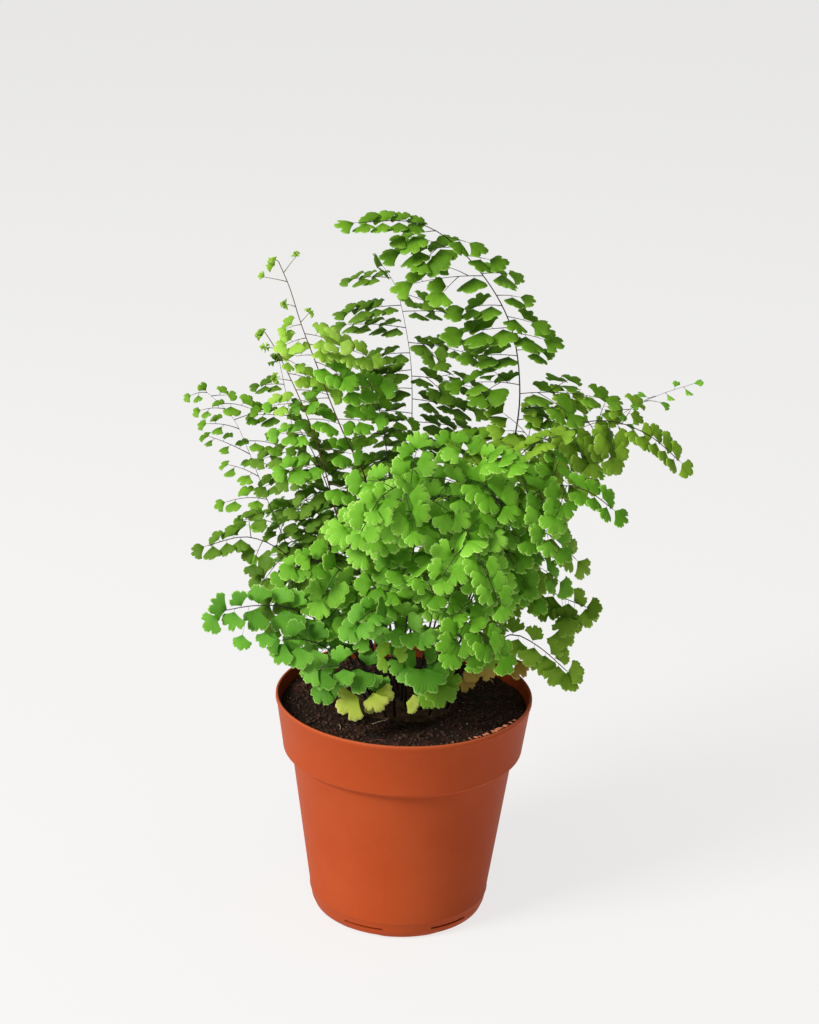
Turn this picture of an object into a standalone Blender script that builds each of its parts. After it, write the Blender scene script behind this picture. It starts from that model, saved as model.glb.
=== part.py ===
"""Potted maidenhair fern: nursery pot, soil, crown and separately named fronds, in metres with Z up."""
import bpy
import bmesh
import math
import random
from mathutils import Vector, Matrix
from mathutils.bvhtree import BVHTree

MM = 0.001
UP = Vector((0.0, 0.0, 1.0))

# Pot, in millimetres
POT_SEGMENTS = 44
RIM_RADIUS = 60.0
RIM_HEIGHT = 108.0
WALL = 1.2
COLLAR_LOW_RADIUS = 56.2
COLLAR_LOW_Z = 82.5
BODY_TOP_RADIUS = 52.0
BODY_TOP_Z = 79.0
BODY_LOW_RADIUS = 42.6
BODY_LOW_Z = 9.0
FOOT_RADIUS = 39.0
FOOT_RING = 3.0
FLOOR_UNDER = 2.6
FLOOR_TOP = 4.0
PAD_RADIUS = 10.0
NOTCH_COUNT = 6
NOTCH_WIDTH = 15.0
NOTCH_HEIGHT = 2.0
DRAIN_COUNT = 6
DRAIN_RADIUS = 3.0
DRAIN_RING = 24.0

# Soil and crown
GAP = 0.35
SOIL_SEGMENTS = 30
SOIL_TOP = 101.5
DISH_RADIUS = 30.0
DISH_Z = 100.0
CROWN_A = 26.0
CROWN_B = 23.0
CROWN_HEIGHT = 5.5

# Stems and leaflets
STEM_BASE = 0.68
STEM_TIP = 0.34
PINNA_BASE = 0.34
PINNA_TIP = 0.24
NODE_HALF = 0.42
LEAF_HALF_ANGLE = 62.0
STALK = 1.8
CLEARANCE = 0.30
BRANCH_RATE = 0.74
SMALL_LEAF = 6.8
WIDE_FAN = ((-1.0, 0.76), (-0.5, 0.97), (0.0, 1.0), (0.5, 0.97), (1.0, 0.76))
SMALL_FAN = ((-1.0, 0.78), (-0.36, 1.0), (0.36, 1.0), (1.0, 0.78))
TURNS = (0, 12, -12, 24, -24)
SIZES = (1.0, 0.86, 0.72, 0.6)

# Every frond: route of its stem in millimetres from the crown outwards, share of the stem
# without leaflets, reach of the side branches to the left and right, leaflet length, spacing of
# the branches, direction the blade faces in degrees (None: the way it leans), lean of the leaflets
FRONDS = {
    "front_crown_frond": dict(
        route=((-1, -8), (0, -20, 166), (4, -36, 208), (-1, -48, 226), (-12, -60, 224), (-20, -67, 211)),
        bare=0.50, reach=(38, 34), leaf=9.2, step=12, face=-90, lean=0.75),
    "front_right_drape_frond": dict(
        route=((6, -10), (14, -28, 160), (19, -44, 194), (26, -56, 202), (33, -65, 194), (39, -70, 182)),
        bare=0.42, reach=(24, 30), leaf=8.8, step=12, face=-75, lean=0.80),
    "front_right_crown_frond": dict(
        route=((5, -5), (14, -16, 166), (23, -28, 212), (32, -40, 236), (42, -52, 238)),
        bare=0.52, reach=(36, 34), leaf=9.0, step=12, face=-80, lean=0.65),
    "right_front_frond": dict(
        route=((10, -7), (27, -14, 163), (44, -24, 204), (59, -32, 221), (75, -38, 223), (88, -40, 215)),
        bare=0.45, reach=(34, 34), leaf=9.0, step=12, face=-50, lean=0.70),
    "centre_left_frond": dict(
        route=((-8, -8), (-18, -20, 150), (-27, -34, 178), (-40, -43, 188), (-52, -48, 184)),
        bare=0.42, reach=(26, 30), leaf=8.8, step=11, face=-110, lean=0.75),
    "front_centre_frond": dict(
        route=((1, -13), (0, -34, 152), (2, -48, 180), (6, -58, 190), (11, -66, 184)),
        bare=0.50, reach=(22, 24), leaf=8.4, step=11, face=-85, lean=0.85),
    "front_centre_low_frond": dict(
        route=((-4, -16), (-8, -34, 142), (-9, -48, 165), (-15, -57, 171), (-22, -62, 166)),
        bare=0.48, reach=(20, 22), leaf=8.4, step=11, face=-105, lean=0.85),
    "front_right_low_frond": dict(
        route=((8, -14), (12, -36, 143), (19, -50, 165), (29, -59, 166), (40, -65, 156)),
        bare=0.42, reach=(22, 26), leaf=8.8, step=11, face=-70, lean=0.80),
    "tall_arching_frond": dict(
        route=((8, 5), (26, 12, 146), (39, 15, 190), (49, 15, 232), (50, 13, 256), (42, 10, 281),
               (30, 6, 304), (14, 2, 321), (-4, -1, 331), (-24, -5, 334)),
        bare=0.46, reach=(34, 36), leaf=6.8, step=11, face=-90, lean=0.45),
    "right_arching_frond": dict(
        route=((14, 1), (38, 3, 185), (50, 6, 221), (67, 8, 236), (88, 10, 240), (107, 10, 234),
               (122, 10, 222)),
        bare=0.50, reach=(26, 28), leaf=7.4, step=11, face=-60, lean=0.60),
    "left_low_frond": dict(
        route=((-14, -6), (-33, -21, 143), (-50, -31, 158), (-69, -37, 162), (-86, -41, 158)),
        bare=0.38, reach=(22, 24), leaf=9.2, step=12, face=-110, lean=0.80),
    "left_middle_frond": dict(
        route=((-12, -1), (-36, -7, 152), (-54, -12, 178), (-72, -15, 188), (-90, -17, 184)),
        bare=0.45, reach=(24, 28), leaf=7.4, step=11, face=-120, lean=0.55),
    "left_skirt_frond": dict(
        route=((-15, -11), (-32, -27, 134), (-46, -38, 143), (-60, -45, 137)),
        bare=0.40, reach=(17, 20), leaf=8.6, step=11, face=-115, lean=0.85),
    "front_left_skirt_frond": dict(
        route=((-9, -15), (-15, -34, 130), (-25, -43, 135), (-39, -47, 129)),
        bare=0.38, reach=(14, 17), leaf=7.4, step=9, face=-105, lean=0.90),
    "right_middle_frond": dict(
        route=((14, -3), (31, -3, 160), (47, -5, 187), (62, -6, 191), (76, -6, 179)),
        bare=0.45, reach=(26, 26), leaf=7.8, step=11, face=-60, lean=0.65),
    "right_low_frond": dict(
        route=((18, 3), (40, 8, 147), (58, 8, 163), (71, 8, 157), (85, 8, 142)),
        bare=0.48, reach=(20, 22), leaf=7.8, step=11, face=-60, lean=0.65),
    "right_skirt_frond": dict(
        route=((18, -5), (33, -10, 130), (47, -14, 144), (60, -16, 140), (74, -16, 128)),
        bare=0.40, reach=(18, 20), leaf=7.8, step=11, face=-70, lean=0.75),
    "inner_right_frond": dict(
        route=((9, 0), (29, 0, 170), (43, -6, 217), (53, -12, 234), (64, -17, 240)),
        bare=0.52, reach=(28, 28), leaf=7.6, step=11, face=-75, lean=0.55),
    "inner_left_frond": dict(
        route=((-7, 7), (-23, 4, 148), (-33, 8, 190), (-43, 13, 216), (-53, 17, 232)),
        bare=0.48, reach=(26, 26), leaf=7.0, step=11, face=-100, lean=0.50),
    "inner_back_frond": dict(
        route=((-3, 13), (-6, 17, 164), (-10, 20, 208), (-14, 21, 234), (-20, 20, 252)),
        bare=0.48, reach=(30, 30), leaf=7.0, step=12, face=-90, lean=0.50),
    "upright_back_frond": dict(
        route=((3, 14), (1, 30, 169), (0, 38, 223), (-1, 38, 252), (-4, 38, 272), (-9, 36, 292),
               (-15, 34, 302)),
        bare=0.52, reach=(34, 32), leaf=6.2, step=11, face=-90, lean=0.40),
    "young_tall_frond": dict(
        route=((-3, 4), (-13, 4, 178), (-20, 4, 212), (-28, 2, 229), (-33, 0, 246), (-39, -2, 265),
               (-47, -4, 284), (-52, -5, 301), (-58, -6, 312)),
        bare=0.62, reach=(14, 26), leaf=5.0, step=9, face=-90, lean=0.40, curl=2.4),
    "young_leaning_frond": dict(
        route=((-8, 1), (-21, -1, 164), (-32, -1, 192), (-40, -1, 221), (-47, -1, 241), (-54, -1, 257),
               (-61, -1, 271), (-66, -1, 279)),
        bare=0.62, reach=(13, 18), leaf=4.8, step=8, face=-90, lean=0.40, curl=2.0),
    "wiry_left_frond": dict(
        route=((-11, 6), (-38, 12, 148), (-48, 16, 179), (-52, 17, 205), (-55, 17, 232), (-61, 17, 262)),
        bare=0.70, reach=(10, 13), leaf=4.8, step=9, face=-90, lean=0.45, curl=1.8),
    "airy_left_frond": dict(
        route=((-15, 4), (-45, 9, 153), (-63, 13, 190), (-71, 15, 210), (-81, 14, 234), (-93, 12, 247)),
        bare=0.58, reach=(19, 19), leaf=5.4, step=9, face=-100, lean=0.45),
    "airy_right_frond": dict(
        route=((15, 8), (51, 25, 181), (75, 32, 216), (95, 36, 234), (112, 38, 244), (129, 40, 250)),
        bare=0.60, reach=(15, 15), leaf=5.0, step=9, face=-80, lean=0.45),
    "back_left_frond": dict(
        route=((-10, 12), (-30, 32, 150), (-44, 50, 178), (-56, 64, 180), (-64, 76, 166)),
        bare=0.42, reach=(30, 30), leaf=8.6, step=13, face=None, lean=0.70),
    "back_right_frond": dict(
        route=((9, 13), (26, 34, 156), (42, 56, 188), (56, 70, 190), (68, 82, 174)),
        bare=0.42, reach=(32, 32), leaf=8.6, step=13, face=None, lean=0.70),
    "back_centre_frond": dict(
        route=((0, 18), (-2, 40, 156), (-5, 60, 192), (-8, 78, 198), (-12, 94, 184)),
        bare=0.42, reach=(32, 32), leaf=8.6, step=13, face=None, lean=0.70),
    "back_low_left_frond": dict(
        route=((-8, 17), (-22, 42, 136), (-34, 60, 148), (-44, 74, 138)),
        bare=0.42, reach=(22, 22), leaf=8.4, step=12, face=None, lean=0.85),
    "back_low_right_frond": dict(
        route=((8, 17), (22, 42, 136), (36, 60, 150), (48, 72, 140)),
        bare=0.42, reach=(22, 22), leaf=8.4, step=12, face=None, lean=0.85),
    "basal_centre_leaflets": dict(
        route=((3, -18), (6, -38, 130), (10, -50, 140)),
        bare=0.70, reach=(0, 0), leaf=12.0, step=12, face=-90, lean=1.00),
    "basal_dark_leaflets": dict(
        route=((12, -17), (16, -36, 122), (22, -48, 127)),
        bare=0.70, reach=(0, 0), leaf=10.0, step=12, face=-80, lean=1.00),
    "basal_pale_leaflets": dict(
        route=((-4, -20), (-5, -36, 131), (-5, -47, 146)),
        bare=0.80, reach=(0, 0), leaf=8.0, step=10, face=-95, lean=0.90),
    "basal_yellow_left_leaflets": dict(
        route=((-14, -15), (-20, -33, 117), (-27, -43, 121)),
        bare=0.50, reach=(0, 0), leaf=7.0, step=8, face=-110, lean=1.00),
    "basal_yellow_front_leaflets": dict(
        route=((-8, -20), (-8, -34, 114), (-12, -44, 117)),
        bare=0.60, reach=(0, 0), leaf=6.0, step=7, face=-95, lean=1.00),
    "basal_tan_leaflets": dict(
        route=((20, -9), (30, -11, 117), (41, -11, 125), (52, -9, 121)),
        bare=0.40, reach=(0, 0), leaf=6.0, step=9, face=-60, lean=0.80),
}

LEAF_GREENS = {
    "young": (0.30, 0.46, 0.10),
    "basal_yellow": (0.50, 0.52, 0.12),
    "basal_tan": (0.42, 0.34, 0.10),
    "back": (0.06, 0.19, 0.04),
    "upright": (0.06, 0.20, 0.04),
    "front": (0.12, 0.36, 0.07),
    "default": (0.09, 0.28, 0.05),
}


# ---- helpers shared by every sub-part ----

def material(name, colour, roughness, metallic=0.0):
    found = bpy.data.materials.new(name)
    found.use_nodes = True
    shader = found.node_tree.nodes["Principled BSDF"]
    shader.inputs["Base Color"].default_value = (*colour, 1.0)
    shader.inputs["Roughness"].default_value = roughness
    shader.inputs["Metallic"].default_value = metallic
    found.diffuse_color = (*colour, 1.0)
    return found


def add_object(name, mesh_data, surface, smooth):
    mesh = bpy.data.meshes.new(name)
    mesh_data.to_mesh(mesh)
    mesh_data.free()
    mesh.materials.append(surface)
    for polygon in mesh.polygons:
        polygon.use_smooth = smooth
    body = bpy.data.objects.new(name, mesh)
    bpy.context.scene.collection.objects.link(body)
    return body


def turned(profile, segments):
    """A closed solid of revolution from (radius, z) points; both ends lie on the axis."""
    data = bmesh.new()
    rings = []
    for radius, z in profile:
        rings.append(turned_ring(data, radius, z, segments))
    for lower, upper in zip(rings, rings[1:]):
        join_rings(data, lower, upper)
    bmesh.ops.recalc_face_normals(data, faces=data.faces)
    return data


def turned_ring(data, radius, z, segments):
    if radius <= 0.0:
        return [data.verts.new((0.0, 0.0, z * MM))]
    ring = []
    for index in range(segments):
        angle = 2.0 * math.pi * index / segments
        ring.append(data.verts.new((radius * math.cos(angle) * MM, radius * math.sin(angle) * MM, z * MM)))
    return ring


def join_rings(data, lower, upper):
    count = max(len(lower), len(upper))
    for index in range(count):
        after = (index + 1) % count
        if len(lower) == 1:
            data.faces.new((lower[0], upper[after], upper[index]))
        elif len(upper) == 1:
            data.faces.new((lower[index], lower[after], upper[0]))
        else:
            data.faces.new((lower[index], lower[after], upper[after], upper[index]))


def cutter(name, mesh_data):
    mesh = bpy.data.meshes.new(name)
    mesh_data.to_mesh(mesh)
    mesh_data.free()
    body = bpy.data.objects.new(name, mesh)
    bpy.context.scene.collection.objects.link(body)
    body.hide_render = True
    body.display_type = "WIRE"
    return body


def subtract(body, tool):
    cut = body.modifiers.new("cut", "BOOLEAN")
    cut.operation = "DIFFERENCE"
    cut.solver = "EXACT"
    cut.object = tool


# ---- pot ----

def pot_profile():
    inner = RIM_RADIUS - WALL
    outer = [
        (0.0, 0.0), (PAD_RADIUS, 0.0), (PAD_RADIUS + 1.0, FLOOR_UNDER),
        (FOOT_RADIUS - FOOT_RING - 0.6, FLOOR_UNDER), (FOOT_RADIUS - FOOT_RING, 0.0),
        (FOOT_RADIUS, 0.0), (FOOT_RADIUS + 1.6, 1.2), (FOOT_RADIUS + 2.9, 4.6),
        (BODY_LOW_RADIUS, BODY_LOW_Z), (BODY_TOP_RADIUS, BODY_TOP_Z),
        (COLLAR_LOW_RADIUS - 0.9, COLLAR_LOW_Z - 1.3), (COLLAR_LOW_RADIUS, COLLAR_LOW_Z + 0.6),
        (RIM_RADIUS - 0.2, RIM_HEIGHT - 2.0), (RIM_RADIUS, RIM_HEIGHT - 0.6),
        (RIM_RADIUS - 0.5, RIM_HEIGHT),
    ]
    back = [
        (inner - 0.2, RIM_HEIGHT - 0.4), (inner_radius(COLLAR_LOW_Z + 1.5), COLLAR_LOW_Z + 1.5),
        (inner_radius(BODY_TOP_Z), BODY_TOP_Z), (inner_radius(BODY_LOW_Z), BODY_LOW_Z),
        (inner_radius(FLOOR_TOP), FLOOR_TOP), (0.0, FLOOR_TOP),
    ]
    return outer + back


def inner_radius(z):
    """Inside radius of the pot wall at a height."""
    stations = [
        (FLOOR_TOP, FOOT_RADIUS + 1.2), (BODY_LOW_Z, BODY_LOW_RADIUS - WALL),
        (BODY_TOP_Z, BODY_TOP_RADIUS - WALL), (COLLAR_LOW_Z + 1.5, COLLAR_LOW_RADIUS - WALL),
        (RIM_HEIGHT, RIM_RADIUS - WALL),
    ]
    for (z0, r0), (z1, r1) in zip(stations, stations[1:]):
        if z <= z1:
            return r0 + (r1 - r0) * (z - z0) / (z1 - z0)
    return stations[-1][1]


def notch_cutters():
    data = bmesh.new()
    for index in range(NOTCH_COUNT):
        angle = math.radians(-98.0) + 2.0 * math.pi * index / NOTCH_COUNT
        add_notch(data, angle)
    return cutter("notch_cutters", data)


def add_notch(data, angle):
    half = NOTCH_WIDTH / 2.0
    shape = [(-half, -1.0), (half, -1.0), (half, 0.2), (half * 0.72, NOTCH_HEIGHT * 0.8),
             (half * 0.4, NOTCH_HEIGHT), (-half * 0.4, NOTCH_HEIGHT), (-half * 0.72, NOTCH_HEIGHT * 0.8),
             (-half, 0.2)]
    turn = Matrix.Rotation(angle, 3, "Z")
    near = [data.verts.new(turn @ Vector((32.0, y, z)) * MM) for y, z in shape]
    far = [data.verts.new(turn @ Vector((46.0, y, z)) * MM) for y, z in shape]
    data.faces.new(list(reversed(near)))
    data.faces.new(far)
    join_rings(data, near, far)


def drain_cutters():
    data = bmesh.new()
    for index in range(DRAIN_COUNT):
        angle = 2.0 * math.pi * (index + 0.5) / DRAIN_COUNT
        place = Matrix.Translation((DRAIN_RING * math.cos(angle) * MM, DRAIN_RING * math.sin(angle) * MM,
                                    3.0 * MM))
        bmesh.ops.create_cone(data, cap_ends=True, segments=16, radius1=DRAIN_RADIUS * MM,
                              radius2=DRAIN_RADIUS * MM, depth=8.0 * MM, matrix=place)
    return cutter("drain_cutters", data)


def make_pot():
    data = turned(pot_profile(), POT_SEGMENTS)
    surface = material("terracotta_plastic", (0.53, 0.12, 0.04), 0.42)
    pot = add_object("nursery_pot", data, surface, True)
    subtract(pot, notch_cutters())
    subtract(pot, drain_cutters())


# ---- soil and crown ----

def soil_height(x, y):
    """Lumpy soil top, dished under the crown."""
    radius = math.hypot(x, y)
    lumps = 0.8 * math.sin(x * 0.21 + 1.0) * math.cos(y * 0.17) + 0.5 * math.sin(x * 0.09 - y * 0.26)
    share = min(1.0, max(0.0, (radius - DISH_RADIUS) / 5.0))
    return DISH_Z + share * (SOIL_TOP - DISH_Z + lumps)


def make_soil():
    data = bmesh.new()
    edge = inner_radius(SOIL_TOP - 1.6) - GAP - 0.2
    rings = [turned_ring(data, 0.0, DISH_Z, SOIL_SEGMENTS)]
    for radius in (DISH_RADIUS * 0.5, DISH_RADIUS, DISH_RADIUS + 5.0, 41.0, 47.0, 52.5, edge):
        ring = turned_ring(data, radius, SOIL_TOP, SOIL_SEGMENTS)
        for vertex in ring:
            vertex.co.z = soil_height(vertex.co.x / MM, vertex.co.y / MM) * MM
        rings.append(ring)
    for z in (COLLAR_LOW_Z + 1.5, BODY_TOP_Z, BODY_LOW_Z, FLOOR_TOP + GAP):
        rings.append(turned_ring(data, inner_radius(z) - GAP - 0.1, z, SOIL_SEGMENTS))
    rings.append(turned_ring(data, 0.0, FLOOR_TOP + GAP, SOIL_SEGMENTS))
    for lower, upper in zip(rings, rings[1:]):
        join_rings(data, lower, upper)
    bmesh.ops.recalc_face_normals(data, faces=data.faces)
    bmesh.ops.triangulate(data, faces=data.faces)
    add_object("potting_soil", data, material("dark_soil", (0.045, 0.025, 0.018), 0.95), True)


def crown_height(x, y):
    inside = 1.0 - (x / CROWN_A) ** 2 - (y / CROWN_B) ** 2
    lumps = 0.5 * math.sin(x * 0.45) * math.cos(y * 0.5 + 0.6)
    return DISH_Z + 1.2 + (CROWN_HEIGHT + lumps) * math.sqrt(max(0.0, inside))


def make_crown():
    data = bmesh.new()
    rings = [[data.verts.new((0.0, 0.0, (DISH_Z + GAP) * MM))]]
    rings.append(crown_ring(data, 1.0, DISH_Z + GAP))
    for share in (1.0, 0.94, 0.8, 0.6, 0.4, 0.2):
        rings.append(crown_ring(data, share, None))
    rings.append([data.verts.new((0.0, 0.0, crown_height(0.0, 0.0) * MM))])
    for lower, upper in zip(rings, rings[1:]):
        join_rings(data, lower, upper)
    bmesh.ops.recalc_face_normals(data, faces=data.faces)
    bmesh.ops.triangulate(data, faces=data.faces)
    add_object("crown_rhizome", data, material("brown_crown", (0.12, 0.06, 0.03), 0.9), True)


def crown_ring(data, share, z):
    ring = []
    for index in range(24):
        angle = 2.0 * math.pi * index / 24
        x = CROWN_A * share * math.cos(angle)
        y = CROWN_B * share * math.sin(angle)
        height = crown_height(x, y) if z is None else z
        ring.append(data.verts.new((x * MM, y * MM, height * MM)))
    return ring


# ---- stem routes ----

def root_point(x, y):
    corners = [crown_height(x + dx, y + dy) for dx in (-1.2, 1.2) for dy in (-1.2, 1.2)]
    return Vector((x, y, max(corners) + GAP))


def spline(points, step):
    """Evenly spaced points on a smooth curve through the given ones."""
    dense = []
    count = len(points)
    for index in range(count - 1):
        before = points[max(0, index - 1)]
        start = points[index]
        end = points[index + 1]
        after = points[min(count - 1, index + 2)]
        for part in range(12):
            dense.append(catmull(before, start, end, after, part / 12.0))
    dense.append(points[-1])
    return resampled(dense, step)


def catmull(before, start, end, after, t):
    tangent_in = (end - before) * 0.5
    tangent_out = (after - start) * 0.5
    t2 = t * t
    t3 = t2 * t
    return (start * (2 * t3 - 3 * t2 + 1) + tangent_in * (t3 - 2 * t2 + t)
            + end * (3 * t2 - 2 * t3) + tangent_out * (t3 - t2))


def resampled(dense, step):
    lengths = [0.0]
    for first, second in zip(dense, dense[1:]):
        lengths.append(lengths[-1] + (second - first).length)
    total = lengths[-1]
    count = max(2, round(total / step))
    points = []
    cursor = 0
    for index in range(count + 1):
        want = total * index / count
        while cursor < len(dense) - 2 and lengths[cursor + 1] < want:
            cursor += 1
        span = max(1e-9, lengths[cursor + 1] - lengths[cursor])
        points.append(dense[cursor].lerp(dense[cursor + 1], (want - lengths[cursor]) / span))
    return points


def curled_end(points, radius):
    """A fiddlehead: the route goes on into a small spiral."""
    last = points[-1]
    ahead = (points[-1] - points[-2]).normalized()
    side = Vector((0.0, 1.0, 0.0)).cross(ahead).normalized()
    centre = last - side * radius
    for index in range(1, 7):
        angle = index * 0.72
        shrink = radius * (1.0 - 0.085 * index)
        points.append(centre + (side * math.cos(angle) + ahead * math.sin(angle)) * shrink)
    return points


class Stem:
    """A stem with evenly spaced points; children leave it at stations between the points."""

    def __init__(self, points, base, tip, top):
        self.points = points
        self.base = base
        self.tip = tip
        self.top = top
        self.nodes = []
        self.end_leaf = None
        self.length = sum((b - a).length for a, b in zip(points, points[1:]))

    def at(self, share):
        place = min(max(share, 0.0), 1.0) * (len(self.points) - 1)
        index = min(int(place), len(self.points) - 2)
        return self.points[index].lerp(self.points[index + 1], place - index)

    def along(self, share):
        near = self.at(share - 0.03)
        far = self.at(share + 0.03)
        return (far - near).normalized()

    def frame(self, share):
        along = self.along(share)
        top = (self.top - along * self.top.dot(along)).normalized()
        return along, top, along.cross(top)

    def half(self, share):
        return self.base + (self.tip - self.base) * share


def facing_vector(spec, route):
    if spec["face"] is None:
        lean = route[-1] - route[0]
        return Vector((lean.x, lean.y, 0.0)).normalized()
    angle = math.radians(spec["face"])
    return Vector((math.cos(angle), math.sin(angle), 0.0))


def main_stem(spec):
    corners = [root_point(*spec["route"][0])]
    corners += [Vector(point) for point in spec["route"][1:]]
    points = spline(corners, 9.0)
    if "curl" in spec:
        points = curled_end(points, spec["curl"])
    facing = facing_vector(spec, points)
    top = (UP * 0.35 + facing).normalized()
    stem = Stem(points, STEM_BASE, STEM_TIP, top)
    stem.facing = facing
    return stem


# ---- room kept between parts ----

class Room:
    """Everything already placed, as small inflated shells that a new piece may not touch."""

    def __init__(self):
        self.shells = []

    def add(self, shell):
        self.shells.append(shell)

    def free(self, shell, skip=None):
        for other in self.shells:
            if other["owner"] is skip and skip is not None:
                continue
            reach = other["reach"] + shell["reach"]
            if (other["centre"] - shell["centre"]).length_squared > reach * reach:
                continue
            if other["tree"].overlap(shell["tree"]):
                return False
        return True


def shell_from(points, faces, owner):
    centre = sum(points, Vector()) / len(points)
    reach = max((point - centre).length for point in points)
    return dict(tree=BVHTree.FromPolygons(points, faces), centre=centre, reach=reach, owner=owner)


def tube_shells(stem, skip_start, spare=CLEARANCE):
    shells = []
    count = len(stem.points)
    for index in range(0, count - 1, 2):
        first = stem.points[index]
        last = stem.points[min(index + 2, count - 1)]
        middle = stem.points[min(index + 1, count - 1)]
        if index == 0 and skip_start > 0.0:
            first = first + (middle - first).normalized() * min(skip_start, (middle - first).length * 0.8)
        half = stem.half(index / (count - 1.0)) * 1.42 + spare
        shells.append(tube_shell([first, middle, last], half, stem))
    return shells


def crosses(shell, others):
    return any(other["tree"].overlap(shell["tree"]) for other in others)


def tube_shell(points, half, owner):
    corners = []
    for point, before, after in zip(points, [points[0]] + points, points[1:] + [points[-1]]):
        along = (after - before).normalized()
        side = along.orthogonal().normalized() * half
        other = along.cross(side).normalized() * half
        corners += [point + side, point + other, point - side, point - other]
    faces = [(0, 1, 2), (0, 2, 3), (8, 10, 9), (8, 11, 10)]
    for row in (0, 4):
        for index in range(4):
            after = (index + 1) % 4
            faces.append((row + index, row + after, row + 4 + after))
            faces.append((row + index, row + 4 + after, row + 4 + index))
    return shell_from(corners, faces, owner)


def leaf_shell(leaf, owner):
    outline = [leaf["foot"]] + [leaf["heart"] + (point - leaf["heart"]) * 1.05 for point in leaf["rim"]]
    lift = leaf["normal"] * CLEARANCE
    points = [point + lift for point in outline] + [point - lift for point in outline]
    count = len(outline)
    faces = []
    for index in range(1, count - 1):
        faces.append((0, index, index + 1))
        faces.append((count, count + index + 1, count + index))
    for index in range(count):
        after = (index + 1) % count
        faces.append((index, count + index, count + after))
        faces.append((index, count + after, after))
    return shell_from(points, faces, owner)


# ---- leaflets ----

def leaf_shape(place, heading, normal, length, stalk, rng):
    """A fan with four or five margin points on a short stalk, slightly cupped."""
    normal = (normal - heading * normal.dot(heading)).normalized()
    side = heading.cross(normal).normalized()
    foot = place + heading * 0.9
    start = place + heading * stalk
    rim = []
    for share, radius in (WIDE_FAN if length > SMALL_LEAF else SMALL_FAN):
        angle = math.radians(LEAF_HALF_ANGLE) * share
        flat = heading * math.cos(angle) + side * math.sin(angle)
        droop = normal * (-0.10 * length * share * share - 0.05 * length)
        rim.append(start + flat * length * radius * rng.uniform(0.95, 1.05) + droop)
    heart = sum(rim, Vector()) / len(rim)
    return dict(foot=foot, rim=rim, heart=heart, normal=normal)


def tilted(normal, heading, roll, nod):
    side = heading.cross(normal).normalized()
    normal = Matrix.Rotation(math.radians(roll), 3, heading) @ normal
    return Matrix.Rotation(math.radians(nod), 3, side) @ normal


def try_leaf(room, stem, place, heading, normal, length, rng, shingle=0.0):
    """The first turn and size of a leaflet that touches nothing else."""
    roll = shingle + rng.uniform(-9.0, 9.0)
    nod = rng.uniform(-12.0, 10.0)
    size = rng.uniform(0.88, 1.1)
    for shrink in SIZES:
        for turn in TURNS:
            swung = Matrix.Rotation(math.radians(turn), 3, normal) @ heading
            face = tilted(normal, swung, roll + turn * 0.4, nod)
            leaf = leaf_shape(place, swung, face, length * size * shrink, STALK, rng)
            shell = leaf_shell(leaf, stem)
            if crosses(shell, stem.core) or crosses(shell, stem.leaf_shells):
                continue
            if room.free(shell, skip=stem):
                shell["owner"] = leaf
                room.add(shell)
                stem.leaf_shells.append(shell)
                return leaf
    return None


def leaf_pairs(room, stem, first, last, spacing, length, rng):
    """Leaflets in pairs from one share of the stem to another, and one at the end."""
    stem.leaf_shells = []
    stem.core = tube_shells(stem, 0.0, 0.0)
    run = (last - first) * stem.length
    count = max(0, int(run / spacing))
    for index in range(count):
        share = last - (index + 1) * spacing / stem.length
        along, top, side = stem.frame(share)
        node = dict(share=share, left=None, right=None)
        grow = length * (1.0 if share < 0.75 else 0.9)
        for key, sign in (("left", -1.0), ("right", 1.0)):
            angle = math.radians(rng.uniform(64.0, 78.0))
            heading = along * math.cos(angle) + side * sign * math.sin(angle)
            node[key] = try_leaf(room, stem, stem.at(share), heading, top, grow, rng, -14.0 * sign)
        if node["left"] or node["right"]:
            stem.nodes.append(node)
    along, top, side = stem.frame(1.0)
    stem.end_leaf = try_leaf(room, stem, stem.points[-1], along, top, length, rng)


# ---- side branches ----

def pinna_length(spec, share, side):
    """Side branches are longest low on the blade and shorten towards the tip."""
    reach = spec["reach"][0 if side < 0 else 1]
    rise = min(1.0, 0.72 + share * 1.6)
    return reach * rise * (1.0 - share) ** 0.55


def pinna_stem(stem, share, side, length, spec, rng):
    along = stem.along(share)
    facing = stem.facing
    normal = (UP + facing * spec["lean"]).normalized()
    spread = along.cross(normal).normalized() * side
    onward = along - normal * along.dot(normal)
    heading = (spread + onward * rng.uniform(0.25, 0.55) + facing * rng.uniform(-0.25, 0.35)).normalized()
    start = stem.at(share)
    points = []
    for index in range(5):
        run = length * index / 4.0
        fall = rng.uniform(0.20, 0.30) if index == 4 else 0.22
        points.append(start + heading * run + UP * (0.16 * run - fall * run * run / length))
    branch = Stem(points, PINNA_BASE, PINNA_TIP, normal)
    branch.leaf_shells = []
    return branch


def grow_branch(room, stem, share, side, spec, rng, blade_share):
    length = pinna_length(spec, blade_share, side) * rng.uniform(0.88, 1.12)
    size = spec["leaf"] * (1.0 - 0.18 * blade_share)
    for attempt in range(5):
        branch = pinna_stem(stem, share, side, length * (1.0 - 0.08 * attempt), spec, rng)
        shells = tube_shells(branch, 2.4)
        if all(room.free(shell, skip=stem) and not crosses(shell, stem.core) for shell in shells):
            for shell in shells:
                room.add(shell)
            first = 0.20 if length > 20 else 0.30
            leaf_pairs(room, branch, first, 1.0, size * 1.18, size, rng)
            return branch
    return None


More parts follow.
